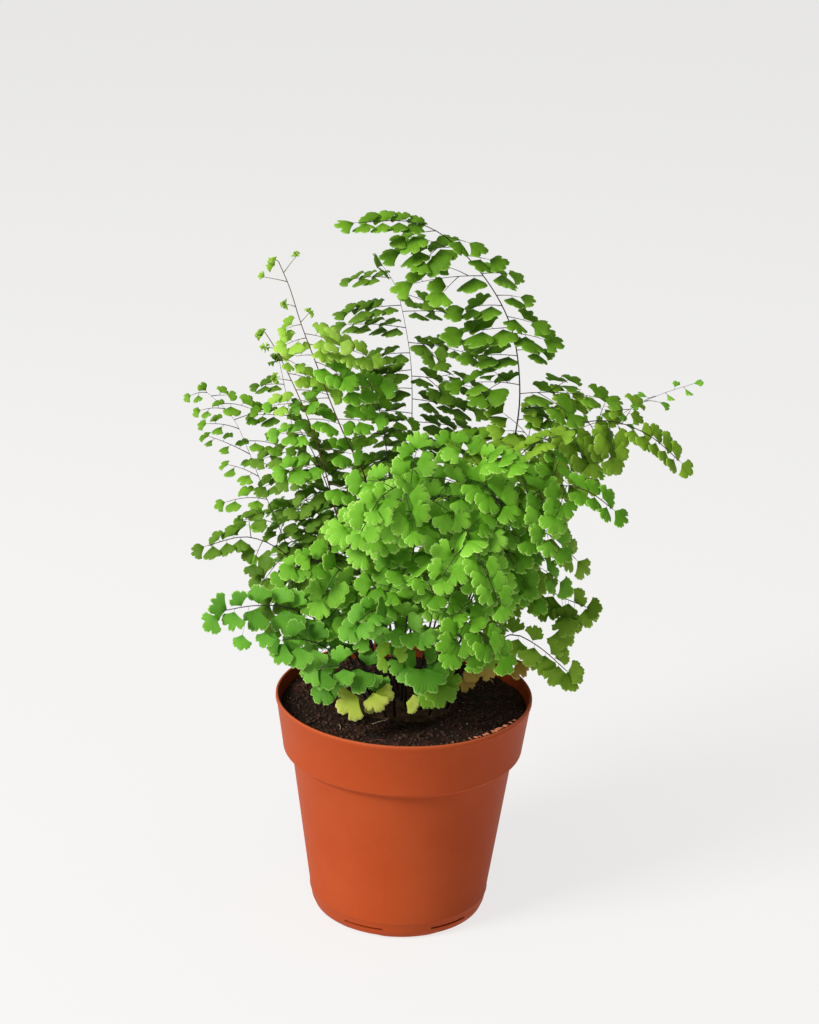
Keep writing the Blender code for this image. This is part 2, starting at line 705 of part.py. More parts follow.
def grow_frond(room, stem, spec, seed):
    rng = random.Random(seed)
    stem.leaf_shells = []
    stem.core = tube_shells(stem, 0.0, 0.0)
    if max(spec["reach"]) <= 0:
        grow_basal(room, stem, spec, rng)
        return
    end = 0.97
    if "curl" in spec:
        end = 0.86
    blade = (end - spec["bare"]) * stem.length
    count = int(blade / (spec["step"] * BRANCH_RATE))
    sign = 1 if seed % 2 else -1
    for index in range(count):
        blade_share = index / max(1.0, count - 1.0)
        share = spec["bare"] + (end - spec["bare"]) * (index + 0.2) / count
        sign = -sign
        add_side(room, stem, share, sign, spec, rng, blade_share)
    if "curl" not in spec:
        along, top, side = stem.frame(1.0)
        normal = (UP + stem.facing * spec["lean"]).normalized()
        stem.end_leaf = try_leaf(room, stem, stem.points[-1], along, normal, spec["leaf"] * 0.9, rng)


def grow_basal(room, stem, spec, rng):
    """A short stem with a few large leaflets held facing outwards."""
    normal = (UP + stem.facing * spec["lean"]).normalized()
    onward = (stem.facing - UP * spec["lean"]).normalized()
    run = (1.0 - spec["bare"]) * stem.length
    for index in range(max(1, int(run / spec["step"]))):
        share = 1.0 - (index + 0.75) * spec["step"] / stem.length
        _, _, across = stem.frame(share)
        spread = (across - normal * across.dot(normal)).normalized()
        pair = []
        for sign in (-1.0, 1.0):
            heading = (spread * sign + onward * rng.uniform(0.0, 0.5)).normalized()
            pair.append(try_leaf(room, stem, stem.at(share), heading, normal, spec["leaf"], rng))
        add_node(stem, share, pair)
    ahead = (onward + stem.along(1.0)).normalized()
    stem.end_leaf = try_leaf(room, stem, stem.points[-1], ahead, normal, spec["leaf"], rng)


def add_side(room, stem, share, sign, spec, rng, blade_share):
    """A side branch, or near the tip a single leaflet."""
    length = pinna_length(spec, blade_share, sign)
    if length > spec["leaf"] * 1.15:
        child = grow_branch(room, stem, share, sign, spec, rng, blade_share)
    else:
        along = stem.along(share)
        normal = (UP + stem.facing * spec["lean"]).normalized()
        heading = (along.cross(normal).normalized() * sign + along * 0.35).normalized()
        child = try_leaf(room, stem, stem.at(share), heading, normal, spec["leaf"] * 0.85, rng)
    add_node(stem, share, [child])


def add_node(stem, share, children):
    """Each child leaves the stem from the side that it points to."""
    node = dict(share=share, left=None, right=None)
    place = stem.at(share)
    _, _, across = stem.frame(share)
    for child in children:
        if child:
            ahead = child.points[1] if isinstance(child, Stem) else child["heart"]
            key = "right" if (ahead - place).dot(across) > 0.0 else "left"
            node[key] = node[key] or child
    if node["left"] or node["right"]:
        stem.nodes.append(node)


# ---- turning a laid out frond into one closed mesh ----

def stem_ring(data, stem, share, shift):
    along, top, side = stem.frame(share)
    half = stem.half(share)
    centre = stem.at(share) + along * shift
    corners = []
    for across, high in ((-1, 1), (1, 1), (1, -1), (-1, -1)):
        corners.append(data.verts.new((centre + side * half * across + top * half * high) * MM))
    return corners


def skin(data, first, second, keep_left, keep_right):
    quads = [(0, 1)]
    if keep_right:
        quads.append((1, 2))
    quads.append((2, 3))
    if keep_left:
        quads.append((3, 0))
    for a, b in quads:
        data.faces.new((first[a], first[b], second[b], second[a]))


def build_stem(data, stem, ring):
    """Rings along the stem; a child takes over the side quad at its node."""
    stations = plain_stations(stem)
    stations += [(node["share"], node) for node in stem.nodes]
    stations.sort(key=lambda item: item[0])
    for share, node in stations:
        if node is None:
            following = stem_ring(data, stem, share, 0.0)
            skin(data, ring, following, True, True)
            ring = following
            continue
        near = stem_ring(data, stem, share, -NODE_HALF)
        far = stem_ring(data, stem, share, NODE_HALF)
        skin(data, ring, near, True, True)
        skin(data, near, far, node["left"] is None, node["right"] is None)
        build_child(data, node["left"], [near[0], far[0], far[3], near[3]])
        build_child(data, node["right"], [far[1], near[1], near[2], far[2]])
        ring = far
    last = stem_ring(data, stem, 1.0, 0.0)
    skin(data, ring, last, True, True)
    if stem.end_leaf:
        build_leaf(data, stem.end_leaf, last)
    else:
        data.faces.new(last)


def plain_stations(stem):
    """Shares of the in-between rings, leaving out those close to a node."""
    count = len(stem.points) - 1
    keep = []
    for index in range(1, count):
        share = index / count
        near = [node for node in stem.nodes if abs(node["share"] - share) * stem.length < 3.0]
        if stem.base == PINNA_BASE and index % 2:
            continue
        if not near:
            keep.append((share, None))
    return keep


def build_child(data, child, ring):
    if child is None:
        return
    if isinstance(child, Stem):
        build_stem(data, child, turned_quad(ring, child.top))
    else:
        build_leaf(data, child, ring)


def turned_quad(ring, top):
    """The same four corners, starting where the quad is best lined up with the child's top."""
    best = None
    for start in range(4):
        quad = ring[start:] + ring[:start]
        up = quad[0].co + quad[1].co - quad[2].co - quad[3].co
        score = up.normalized().dot(top)
        if best is None or score > best[0]:
            best = (score, quad)
    return best[1]


def build_leaf(data, leaf, ring):
    top_left, top_right, low_right, low_left = turned_quad(ring, leaf["normal"])
    rim = [data.verts.new(point * MM) for point in leaf["rim"]]
    for left, right, flip in ((top_left, top_right, False), (low_left, low_right, True)):
        middle = len(rim) // 2
        triangles = [(left, rim[index + 1], rim[index]) for index in range(middle)]
        triangles.append((left, right, rim[middle]))
        triangles += [(right, rim[index + 1], rim[index]) for index in range(middle, len(rim) - 1)]
        for triangle in triangles:
            data.faces.new(tuple(reversed(triangle)) if flip else triangle)
    data.faces.new((top_left, rim[0], low_left))
    data.faces.new((top_right, low_right, rim[-1]))


def leaf_green(name):
    for key, colour in LEAF_GREENS.items():
        if name.startswith(key):
            return colour
    return LEAF_GREENS["default"]


def make_frond(name, stem):
    data = bmesh.new()
    ring = stem_ring(data, stem, 0.0, 0.0)
    data.faces.new(list(reversed(ring)))
    build_stem(data, stem, ring)
    bmesh.ops.triangulate(data, faces=data.faces)
    bmesh.ops.recalc_face_normals(data, faces=data.faces)
    add_object(name, data, material(name + "_green", leaf_green(name), 0.5), False)


def make_fronds():
    room = Room()
    stems = {}
    for name, spec in FRONDS.items():
        stems[name] = main_stem(spec)
        for shell in tube_shells(stems[name], 0.0):
            room.add(shell)
    for seed, (name, spec) in enumerate(FRONDS.items(), 11):
        grow_frond(room, stems[name], spec, seed)
    for name, stem in stems.items():
        make_frond(name, stem)


def main():
    for old in list(bpy.data.objects):
        bpy.data.objects.remove(old, do_unlink=True)
    bpy.context.scene.unit_settings.system = "METRIC"
    make_pot()
    make_soil()
    make_crown()
    make_fronds()


main()
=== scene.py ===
import bpy
import bmesh
import math
import random
import numpy as np
from mathutils import Matrix, Vector, noise
from mathutils.bvhtree import BVHTree


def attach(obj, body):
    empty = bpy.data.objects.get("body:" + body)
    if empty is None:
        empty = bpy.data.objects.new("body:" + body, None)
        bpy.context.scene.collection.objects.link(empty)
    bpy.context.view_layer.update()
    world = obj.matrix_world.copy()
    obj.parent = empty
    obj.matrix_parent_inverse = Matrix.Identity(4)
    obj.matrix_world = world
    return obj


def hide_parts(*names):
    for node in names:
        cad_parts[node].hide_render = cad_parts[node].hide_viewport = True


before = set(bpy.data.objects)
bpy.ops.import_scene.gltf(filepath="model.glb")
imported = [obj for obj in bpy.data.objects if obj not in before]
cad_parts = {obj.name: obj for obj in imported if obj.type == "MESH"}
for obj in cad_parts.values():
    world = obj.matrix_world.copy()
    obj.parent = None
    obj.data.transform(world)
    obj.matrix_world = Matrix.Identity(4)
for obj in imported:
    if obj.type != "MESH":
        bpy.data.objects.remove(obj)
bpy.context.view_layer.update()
mm = 0.001
up = Vector((0.0, 0.0, 1.0))
print("frame loaded:", len(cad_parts), "nodes")


def addObject(name, data):
    made = bpy.data.objects.new(name, data)
    bpy.context.scene.collection.objects.link(made)
    return made


view = {
    "target": (0.0, 0.0, 0.197),
    "distance": 0.954,
    "elevation": 19.1,
    "roll": 1.74,
    "lens": 73.83,                # on a 36 mm tall frame
}


def makeCamera():
    data = bpy.data.cameras.new("portraitCamera")
    data.sensor_fit = "VERTICAL"
    data.sensor_height = 36.0
    data.lens = view["lens"]
    data.clip_start = 0.01
    data.clip_end = 50.0
    camera = addObject("portraitCamera", data)
    tilt = math.radians(view["elevation"])
    roll = math.radians(view["roll"])
    ahead = Vector((0.0, math.cos(tilt), -math.sin(tilt)))
    above = Vector((0.0, math.sin(tilt), math.cos(tilt)))
    side = Vector((1.0, 0.0, 0.0))
    right = side * math.cos(roll) + above * math.sin(roll)
    top = above * math.cos(roll) - side * math.sin(roll)
    place = Matrix((right, top, -ahead)).transposed().to_4x4()
    place.translation = Vector(view["target"]) - ahead * view["distance"]
    camera.matrix_world = place
    bpy.context.scene.camera = camera


lamps = {
    "window": {"at": (-1.66, -1.18, 1.55), "size": 0.8, "power": 65.0, "colour": (1.0, 0.985, 0.955)},
    "overhead": {"at": (-0.2, -0.55, 2.2), "size": 1.4, "power": 10.0, "colour": (1.0, 1.0, 1.0)},
    "sky": 0.235,
}


def makeLamps():
    for name in ("window", "overhead"):
        look = lamps[name]
        data = bpy.data.lights.new(name + "Lamp", "AREA")
        data.shape = "SQUARE"
        data.size = look["size"]
        data.energy = look["power"]
        data.color = look["colour"]
        lamp = addObject(name + "Lamp", data)
        lamp.location = look["at"]
        aim = Vector((0.0, 0.0, 0.16)) - Vector(look["at"])
        lamp.rotation_euler = aim.to_track_quat("-Z", "Y").to_euler()
    world = bpy.data.worlds.new("paleRoom")
    bpy.context.scene.world = world
    world.use_nodes = True
    backdrop = world.node_tree.nodes["Background"]
    backdrop.inputs["Color"].default_value = (1.0, 1.0, 1.0, 1.0)
    backdrop.inputs["Strength"].default_value = lamps["sky"]
    bpy.context.scene.view_settings.view_transform = "Standard"


class Val:                        # a socket that can stand in an expression
    def __init__(self, shader, socket):
        self.shader = shader
        self.socket = socket

    def maths(self, operation, *others):
        return self.shader.node("ShaderNodeMath", {"operation": operation}, [self, *others])

    def __add__(self, other):
        return self.maths("ADD", other)

    def __radd__(self, other):
        return self.maths("ADD", other)

    def __sub__(self, other):
        return self.maths("SUBTRACT", other)

    def __rsub__(self, other):
        return self.shader.node("ShaderNodeMath", {"operation": "SUBTRACT"}, [other, self])

    def __mul__(self, other):
        return self.maths("MULTIPLY", other)

    def __rmul__(self, other):
        return self.maths("MULTIPLY", other)

    def __pow__(self, other):
        return self.maths("POWER", other)

    def __rpow__(self, other):
        return self.shader.node("ShaderNodeMath", {"operation": "POWER"}, [other, self])

    def sine(self):
        return self.maths("SINE")

    def ease(self, low, high):    # 0 below low, 1 above high, smooth between
        settings = {"interpolation_type": "SMOOTHSTEP"}
        values = {"Value": self, "From Min": low, "From Max": high, "To Min": 0.0, "To Max": 1.0}
        return self.shader.node("ShaderNodeMapRange", settings, values)


class Shader:                     # one material being written
    def __init__(self, name):
        self.material = bpy.data.materials.new(name)
        self.material.use_nodes = True
        self.tree = self.material.node_tree
        self.surface = self.tree.nodes["Principled BSDF"]
        self.output = self.tree.nodes["Material Output"]

    def node(self, kind, settings=None, values=None, out=0):
        made = self.tree.nodes.new(kind)
        for key, value in (settings or {}).items():
            if key == "stops":
                self.setStops(made.color_ramp, value)
            else:
                setattr(made, key, value)
        pairs = enumerate(values) if isinstance(values, list) else (values or {}).items()
        for key, value in pairs:
            self.feed(made.inputs[key], value)
        return Val(self, made.outputs[out])

    def setStops(self, ramp, stops):
        while len(ramp.elements) < len(stops):
            ramp.elements.new(0.5)
        for element, (place, colour) in zip(ramp.elements, stops):
            element.position = place
            element.color = (*colour, 1.0)

    def feed(self, socket, value):
        if isinstance(value, Val):
            self.tree.links.new(value.socket, socket)
        elif hasattr(value, "__len__") and len(value) == 3 and socket.type == "RGBA":
            socket.default_value = (*value, 1.0)
        else:
            socket.default_value = value

    def set(self, **values):      # sockets of the Principled shader, underscores for spaces
        for key, value in values.items():
            self.feed(self.surface.inputs[key.replace("_", " ")], value)

    def attribute(self, name):
        return self.node("ShaderNodeAttribute", {"attribute_name": name}, out="Fac")

    def place(self):
        return self.node("ShaderNodeTexCoord", out="Object")

    def noise(self, scale, detail=3.0, rough=0.55, where=None):
        values = {"Vector": where or self.place(), "Scale": scale, "Detail": detail, "Roughness": rough}
        return self.node("ShaderNodeTexNoise", None, values)

    def cells(self, scale):
        return self.node("ShaderNodeTexVoronoi", None, {"Vector": self.place(), "Scale": scale})

    def stretched(self, scale, turn=(0.0, 0.0, 0.0)):
        values = {"Vector": self.place(), "Scale": scale, "Rotation": turn}
        return self.node("ShaderNodeMapping", None, values)

    def ramp(self, factor, stops):
        return self.node("ShaderNodeValToRGB", {"stops": stops}, {"Fac": factor})

    def blend(self, factor, first, second):
        settings = {"data_type": "RGBA", "clamp_factor": True}
        return self.node("ShaderNodeMix", settings, {0: factor, 6: first, 7: second}, out=2)

    def bump(self, height, strength, distance):
        values = {"Height": height, "Strength": strength, "Distance": distance}
        return self.node("ShaderNodeBump", None, values)


leafLooks = {                     # low: near the stalk, high: towards the margin, glow: light coming through
    # a paler copy of the leaf colour for the front fronds: painted light
    "bright": {"low": (0.125, 0.38, 0.012), "high": (0.255, 0.62, 0.040), "edge": (0.66, 0.92, 0.26),
               "glow": (0.52, 0.88, 0.04), "through": 0.25},
    "fresh": {"low": (0.100, 0.31, 0.010), "high": (0.190, 0.50, 0.024), "edge": (0.54, 0.84, 0.18),
              "glow": (0.45, 0.82, 0.03), "through": 0.24},
    "deep": {"low": (0.105, 0.26, 0.009), "high": (0.205, 0.44, 0.021), "edge": (0.34, 0.58, 0.10),
             "glow": (0.42, 0.74, 0.03), "through": 0.24},
    "olive": {"low": (0.130, 0.26, 0.012), "high": (0.265, 0.47, 0.028), "edge": (0.46, 0.66, 0.13),
              "glow": (0.50, 0.76, 0.04), "through": 0.26},
    # a darker copy of the leaf colour for the inner and back fronds: painted shade
    "shade": {"low": (0.080, 0.185, 0.010), "high": (0.150, 0.30, 0.020), "edge": (0.28, 0.46, 0.08),
              "glow": (0.36, 0.60, 0.03), "through": 0.27},
    "cool": {"low": (0.072, 0.25, 0.012), "high": (0.150, 0.44, 0.028), "edge": (0.50, 0.80, 0.20),
             "glow": (0.36, 0.72, 0.04), "through": 0.27},
    "young": {"low": (0.27, 0.52, 0.035), "high": (0.42, 0.70, 0.085), "edge": (0.66, 0.82, 0.24),
              "glow": (0.68, 0.88, 0.08), "through": 0.36},
    "yellow": {"low": (0.36, 0.50, 0.035), "high": (0.60, 0.68, 0.11), "edge": (0.80, 0.80, 0.30),
               "glow": (0.70, 0.76, 0.08), "through": 0.26},
    "tan": {"low": (0.36, 0.22, 0.030), "high": (0.58, 0.42, 0.075), "edge": (0.70, 0.55, 0.18),
            "glow": (0.66, 0.44, 0.06), "through": 0.26},
}


def leafMaterial(name):
    look = leafLooks[name]
    shader = Shader(name + "Leaf")
    fan = shader.attribute("fan")             # -1 to 1 across the leaflet
    reach = shader.attribute("reach")         # 0 at the stalk, 1 at the margin
    tone = shader.attribute("tone")           # one number for each leaflet, random, with painted light and shade added by side on some fronds
    under = shader.attribute("under")         # 1 on the underside
    grown = (reach * 0.8 + tone * 0.55 - 0.2).ease(0.0, 1.0)
    colour = shader.blend(grown, look["low"], look["high"])
    veins = ((fan * 46.0 + (reach * 9.0).sine() * 0.6).sine() * 0.5 + 0.5) ** 3.0
    veinShade = veins * 0.26 * reach.ease(0.05, 0.5)
    colour = shader.blend(veinShade, colour, look["edge"])
    blotches = shader.noise(160.0, 4.0, 0.6).ease(0.42, 0.72)
    darker = [part * 0.72 for part in look["low"]]
    colour = shader.blend(blotches * 0.30, colour, darker)
    warm = shader.noise(42.0, 2.0).ease(0.5, 0.8) * 0.35
    colour = shader.blend(warm * tone, colour, look["edge"])
    # darker where the tone is low; on some fronds the tone carries painted shade on the far side
    dim = (1.0 - tone).ease(0.35, 1.0) * 0.55
    colour = shader.blend(dim, colour, darker)
    rim = reach.ease(0.90, 0.985) * 0.72
    colour = shader.blend(rim, colour, look["edge"])
    pale = shader.blend(0.28, colour, look["edge"])
    colour = shader.blend(under * 0.8, colour, pale)
    shader.set(Base_Color=colour, Roughness=0.46 + blotches * 0.14, IOR=1.42)
    shader.set(Specular_IOR_Level=0.16)
    height = veins * 0.5 + shader.noise(420.0, 2.0) * 0.5
    shader.set(Normal=shader.bump(height, 0.22, 0.0004))
    glow = shader.node("ShaderNodeBsdfTranslucent", None, {"Color": look["glow"]})
    both = shader.tree.nodes.new("ShaderNodeMixShader")
    both.inputs[0].default_value = look["through"]
    shader.tree.links.new(shader.surface.outputs[0], both.inputs[1])
    shader.tree.links.new(glow.socket, both.inputs[2])
    shader.tree.links.new(both.outputs[0], shader.output.inputs["Surface"])
    return shader.material


stemLooks = {
    "black": {"low": (0.014, 0.008, 0.005), "high": (0.016, 0.014, 0.006)},
    "brown": {"low": (0.085, 0.026, 0.012), "high": (0.16, 0.17, 0.045)},
}


def stemMaterial(name):
    look = stemLooks[name]
    shader = Shader(name + "Stem")
    age = shader.attribute("reach")           # 0 at the crown, 1 at the tip
    streaks = shader.noise(300.0, 3.0, 0.6).ease(0.4, 0.7)
    colour = shader.blend(age.ease(0.55, 1.0), look["low"], look["high"])
    lighter = [part * 2.2 for part in look["low"]]
    colour = shader.blend(streaks * 0.4, colour, lighter)
    shader.set(Base_Color=colour, Roughness=0.34 + streaks * 0.2, Specular_IOR_Level=0.35)
    shader.set(Normal=shader.bump(streaks, 0.25, 0.0002))
    return shader.material


potLook = {
    "rim": 60.0, "height": 108.0, "wall": 1.3,
    "collarFoot": 56.2, "collarLow": 82.5, "bodyTop": 52.0, "bodyHigh": 79.0,
    "bodyFoot": 42.6, "bodyLow": 9.0, "foot": 39.0,
    "colour": (0.41, 0.064, 0.016), "pale": (0.47, 0.089, 0.027), "worn": (0.50, 0.12, 0.045),
    "lip": (0.52, 0.13, 0.05), "dusty": (0.26, 0.055, 0.02),
    "segments": 160, "notches": 6, "notchWidth": 18.0, "notchHeight": 0.8, "notchTurn": -113.0,
    "slot": (4.68, 5.62), "slotDepth": 3.0,       # the narrow slot above each notch
    "drains": 6, "drainRing": 24.0, "drainRadius": 3.0,
}


def potMaterial():
    shader = Shader("terracottaPlastic")
    mottled = shader.noise(28.0, 4.0, 0.6)
    fine = shader.noise(900.0, 2.0, 0.5)
    colour = shader.blend(mottled.ease(0.35, 0.7) * 0.35, potLook["colour"], potLook["pale"])
    height = shader.node("ShaderNodeSeparateXYZ", None, {"Vector": shader.place()}, out="Z")
    turning = shader.noise(6.0, 2.0, 0.5, shader.stretched((9.0, 9.0, 260.0)))
    scuffs = shader.noise(70.0, 5.0, 0.75, shader.stretched((1.0, 1.0, 5.0), (0.3, 0.2, 0.0)))
    worn = scuffs.ease(0.60, 0.78)
    colour = shader.blend(worn * 0.22, colour, potLook["worn"])
    colour = shader.blend(height.ease(0.1066, 0.108) * 0.5, colour, potLook["lip"])
    # darker in patches towards the bottom of the pot
    dusty = (1.0 - height.ease(0.0, 0.022)) * mottled.ease(0.4, 0.65)
    colour = shader.blend(dusty * 0.35, colour, potLook["dusty"])
    shader.set(Base_Color=colour, Roughness=0.44 + mottled * 0.10 + worn * 0.15)
    shader.set(Specular_IOR_Level=0.08, IOR=1.35)
    relief = fine * 0.4 + turning * 0.5 + worn * 0.3
    shader.set(Normal=shader.bump(relief, 0.16, 0.0004))
    return shader.material


soilLook = {
    "top": 101.5, "radius": 57.0, "rings": 64, "turns": 180,
    "sides": (84.0, 79.0, 9.0, 4.4), "gap": 0.4,  # heights down the plug, and its gap to the wall
    "clear": 57.2,                # crumbs stay inside this radius
    "stops": [(0.30, (0.008, 0.004, 0.002)), (0.5, (0.026, 0.009, 0.005)),
              (0.62, (0.070, 0.024, 0.012)), (0.80, (0.16, 0.060, 0.028))],
    "damp": (0.014, 0.008, 0.006),
}


def soilMaterial():
    shader = Shader("peatSoil")
    lumps = shader.noise(240.0, 6.0, 0.7)
    grains = shader.cells(520.0)
    colour = shader.ramp(lumps, soilLook["stops"])
    damp = shader.noise(35.0, 2.0).ease(0.35, 0.65)
    colour = shader.blend(damp * 0.55, colour, soilLook["damp"])
    shader.set(Base_Color=colour, Roughness=0.95 - damp * 0.2, Specular_IOR_Level=0.2)
    shader.set(Normal=shader.bump(lumps * 0.7 + grains * 0.5, 0.9, 0.0012))
    return shader.material


grainLooks = {
    "peatCrumb": dict(dark=(0.018, 0.008, 0.005), light=(0.095, 0.036, 0.018), grain=600.0, rough=0.9),
    "barkFibre": dict(dark=(0.055, 0.022, 0.012), light=(0.20, 0.085, 0.045), grain=500.0, rough=0.8),
    "strawTwig": dict(dark=(0.42, 0.32, 0.20), light=(0.66, 0.55, 0.38), grain=400.0, rough=0.7),
    "perlite": dict(dark=(0.60, 0.58, 0.54), light=(0.85, 0.84, 0.80), grain=700.0, rough=0.8),
    "rimShaving": dict(dark=(0.45, 0.10, 0.04), light=(0.72, 0.26, 0.14), grain=500.0, rough=0.7),
    "rhizome": dict(dark=(0.030, 0.014, 0.008), light=(0.12, 0.055, 0.028), grain=260.0, rough=0.9),
}


def grainMaterial(name):
    look = grainLooks[name]
    shader = Shader(name)
    grain = shader.noise(look["grain"], 4.0, 0.6)
    colour = shader.blend(grain.ease(0.3, 0.7), look["dark"], look["light"])
    shader.set(Base_Color=colour, Roughness=look["rough"] - 0.1 + grain * 0.2)
    shader.set(Normal=shader.bump(grain, 0.5, 0.0004))
    return shader.material


class Pile:                       # vertices, faces and their numbers, gathered into one mesh
    def __init__(self):
        self.points = []
        self.faces = []
        self.slots = []
        self.smooth = []
        self.numbers = {"fan": [], "reach": [], "tone": [], "under": []}
        self.count = 0

    def add(self, points, faces, slot, smooth=True, **numbers):
        self.points.append(np.array([tuple(point) for point in points], dtype=float))
        self.faces += [tuple(corner + self.count for corner in face) for face in faces]
        self.slots.append(np.full(len(faces), slot))
        self.smooth.append(np.broadcast_to(smooth, len(faces)))
        for key, store in self.numbers.items():
            store.append(np.broadcast_to(numbers.get(key, 0.0), len(points)))
        self.count += len(points)

    def object(self, name, materials):
        mesh = bpy.data.meshes.new(name)
        mesh.from_pydata((np.concatenate(self.points) * mm).tolist(), [], self.faces)
        for key, store in self.numbers.items():
            attribute = mesh.attributes.new(key, "FLOAT", "POINT")
            attribute.data.foreach_set("value", np.concatenate(store).astype(np.float32))
        mesh.polygons.foreach_set("material_index", np.concatenate(self.slots).astype(np.int32))
        mesh.polygons.foreach_set("use_smooth", np.concatenate(self.smooth).astype(bool))
        for material in materials:
            mesh.materials.append(material)
        mesh.update()
        return addObject(name, mesh)


def tube(pile, points, radii, sides, reach=(0.0, 1.0)):   # a closed tube of the stem material
    points = [Vector(point) for point in points]
    count = len(points)
    side = (points[1] - points[0]).normalized().orthogonal().normalized()
    rings = []
    for index, point in enumerate(points):
        along = (points[min(index + 1, count - 1)] - points[max(index - 1, 0)]).normalized()
        side = (side - along * side.dot(along)).normalized()
        other = along.cross(side)
        for turn in range(sides):
            angle = 2.0 * math.pi * turn / sides
            rings.append(point + (side * math.cos(angle) + other * math.sin(angle)) * radii[index])
    rings += [points[0], points[-1]]
    last = (count - 1) * sides
    nexts = [(turn + 1) % sides for turn in range(sides)]
    faces = []
    for low in range(0, last, sides):
        for turn, after in enumerate(nexts):
            faces.append((low + turn, low + after, low + sides + after, low + sides + turn))
    for turn, after in enumerate(nexts):
        faces.append((last + sides, after, turn))
        faces.append((last + sides + 1, last + turn, last + after))
    age = np.append(np.repeat(np.linspace(*reach, count), sides), reach)
    pile.add(rings, faces, 0, reach=age, tone=0.5)


def leafTemplate(across, out):    # faces of a closed thin fan: top, underside and the rim round them
    def top(i, j):
        return i * out + j
    size = across * out
    faces = []
    for i in range(across - 1):
        for j in range(out - 1):
            quad = (top(i, j), top(i, j + 1), top(i + 1, j + 1), top(i + 1, j))
            faces.append(quad)
            faces.append(tuple(size + corner for corner in reversed(quad)))
    loop = [top(i, out - 1) for i in range(across)]
    loop += [top(across - 1, j) for j in range(out - 2, -1, -1)]
    loop += [top(i, 0) for i in range(across - 2, -1, -1)]
    loop += [top(0, j) for j in range(1, out - 1)]
    rims = [(one, size + one, size + two, two) for one, two in zip(loop, loop[1:] + loop[:1])]
    return faces + rims, np.array([True] * len(faces) + [False] * len(rims))


leafForm = {
    "fine": (45, 5), "plain": (25, 4),            # points across and out
    "sideFall": 0.29,             # the sides are this much shorter than the middle
    "notch": (0.06, 0.26), "notchWidth": 0.075,   # cuts between the lobes, in leaflet lengths
    "shoulder": 0.06, "shoulderWidth": 0.22,      # the lobes round off towards them
    "teeth": (8.5, 11.0), "toothDepth": 0.075,
    "ripple": (0.01, 0.035), "thick": 0.045, "stalkThick": 0.04,
}
leafTemplates = {size: leafTemplate(*size) for size in (leafForm["fine"], leafForm["plain"])}


def leafShape(leaf, across, out, rng):        # points of one lobed, cupped, finely toothed leaflet
    form = leafForm
    length = leaf["length"]
    heading, side, normal = (np.array(leaf[key]) for key in ("heading", "side", "normal"))
    a = np.linspace(-1.0, 1.0, across)[:, None]
    t = 0.03 + 0.97 * np.linspace(0.0, 1.0, out)[None, :] ** 0.8
    outline = 1.0 - form["sideFall"] * np.abs(a) ** 2.7 + leaf["lopsided"] * a
    lobes = rng.choice((3, 3, 3, 4)) if length > 7.0 else rng.choice((2, 2, 3))
    for index in range(1, lobes):
        where = -1.0 + 2.0 * (index + rng.uniform(-0.22, 0.22)) / lobes
        outline = outline - rng.uniform(*form["notch"]) * np.exp(-((a - where) / form["notchWidth"]) ** 2)
        outline = outline - form["shoulder"] * np.exp(-((a - where) / form["shoulderWidth"]) ** 2)
    teeth = rng.uniform(*form["teeth"])
    teeth = np.abs(np.sin(np.pi * ((a * 0.5 + 0.5) * teeth + rng.random()))) ** 0.8
    outline = outline * (0.945 + form["toothDepth"] * teeth)
    radius = length * (t * (1.0 - t * t) + t ** 3.0 * outline)
    angle = math.radians(leaf["half"]) * a * (0.84 + 0.16 * t)
    ripple = np.sin(a * 7.0 + rng.uniform(0.0, 6.28)) * t ** 3 * rng.uniform(*form["ripple"])
    rise = -leaf["droop"] * t * t - leaf["cup"] * a * a * t + ripple
    fan = np.cos(angle)[..., None] * heading + np.sin(angle)[..., None] * side
    points = np.array(leaf["start"]) + radius[..., None] * fan + (rise * length)[..., None] * normal
    half = form["thick"] + form["stalkThick"] * (1.0 - t) + 0.0 * a
    upper = points + half[..., None] * normal
    lower = points - half[..., None] * normal
    both = np.concatenate([upper.reshape(-1, 3), lower.reshape(-1, 3)])
    spread = np.tile((a + 0.0 * t).reshape(-1), 2)
    reach = np.tile((t + 0.0 * a).reshape(-1), 2)
    under = np.repeat((0.0, 1.0), across * out)
    return both, spread, reach, under


def addLeaf(pile, leaf, slot, fine, rng):
    size = leafForm["fine" if fine else "plain"]
    faces, smooth = leafTemplates[size]
    points, spread, reach, under = leafShape(leaf, *size, rng)
    pile.add(points, faces, slot, smooth, fan=spread, reach=reach, tone=leaf["tone"], under=under)


usual = dict(                     # what a frond has unless its own entry says otherwise
    leafy="fresh", slot="leaf_green", stem="black",
    fine=False,                   # finely cut leaflets, for the fronds seen close by
    face=-90,                     # the way the leaflets look, in degrees, None for outwards
    step=8.0,                     # from one side branch to the next
    spacing=0.84,                 # leaflets along one side of a twig, in leaflet lengths
    half=66.0,                    # half the angle of the fan
    thin=1.0,                     # scale of the stem's tip
    rise=0.14, onward=(0.1, 0.5),             # how side branches climb and lean forwards
    forkFrom=20.0,                # side branches longer than this fork
    tipFrom=0.84,                 # leaflets sit on the stem itself beyond this share
)

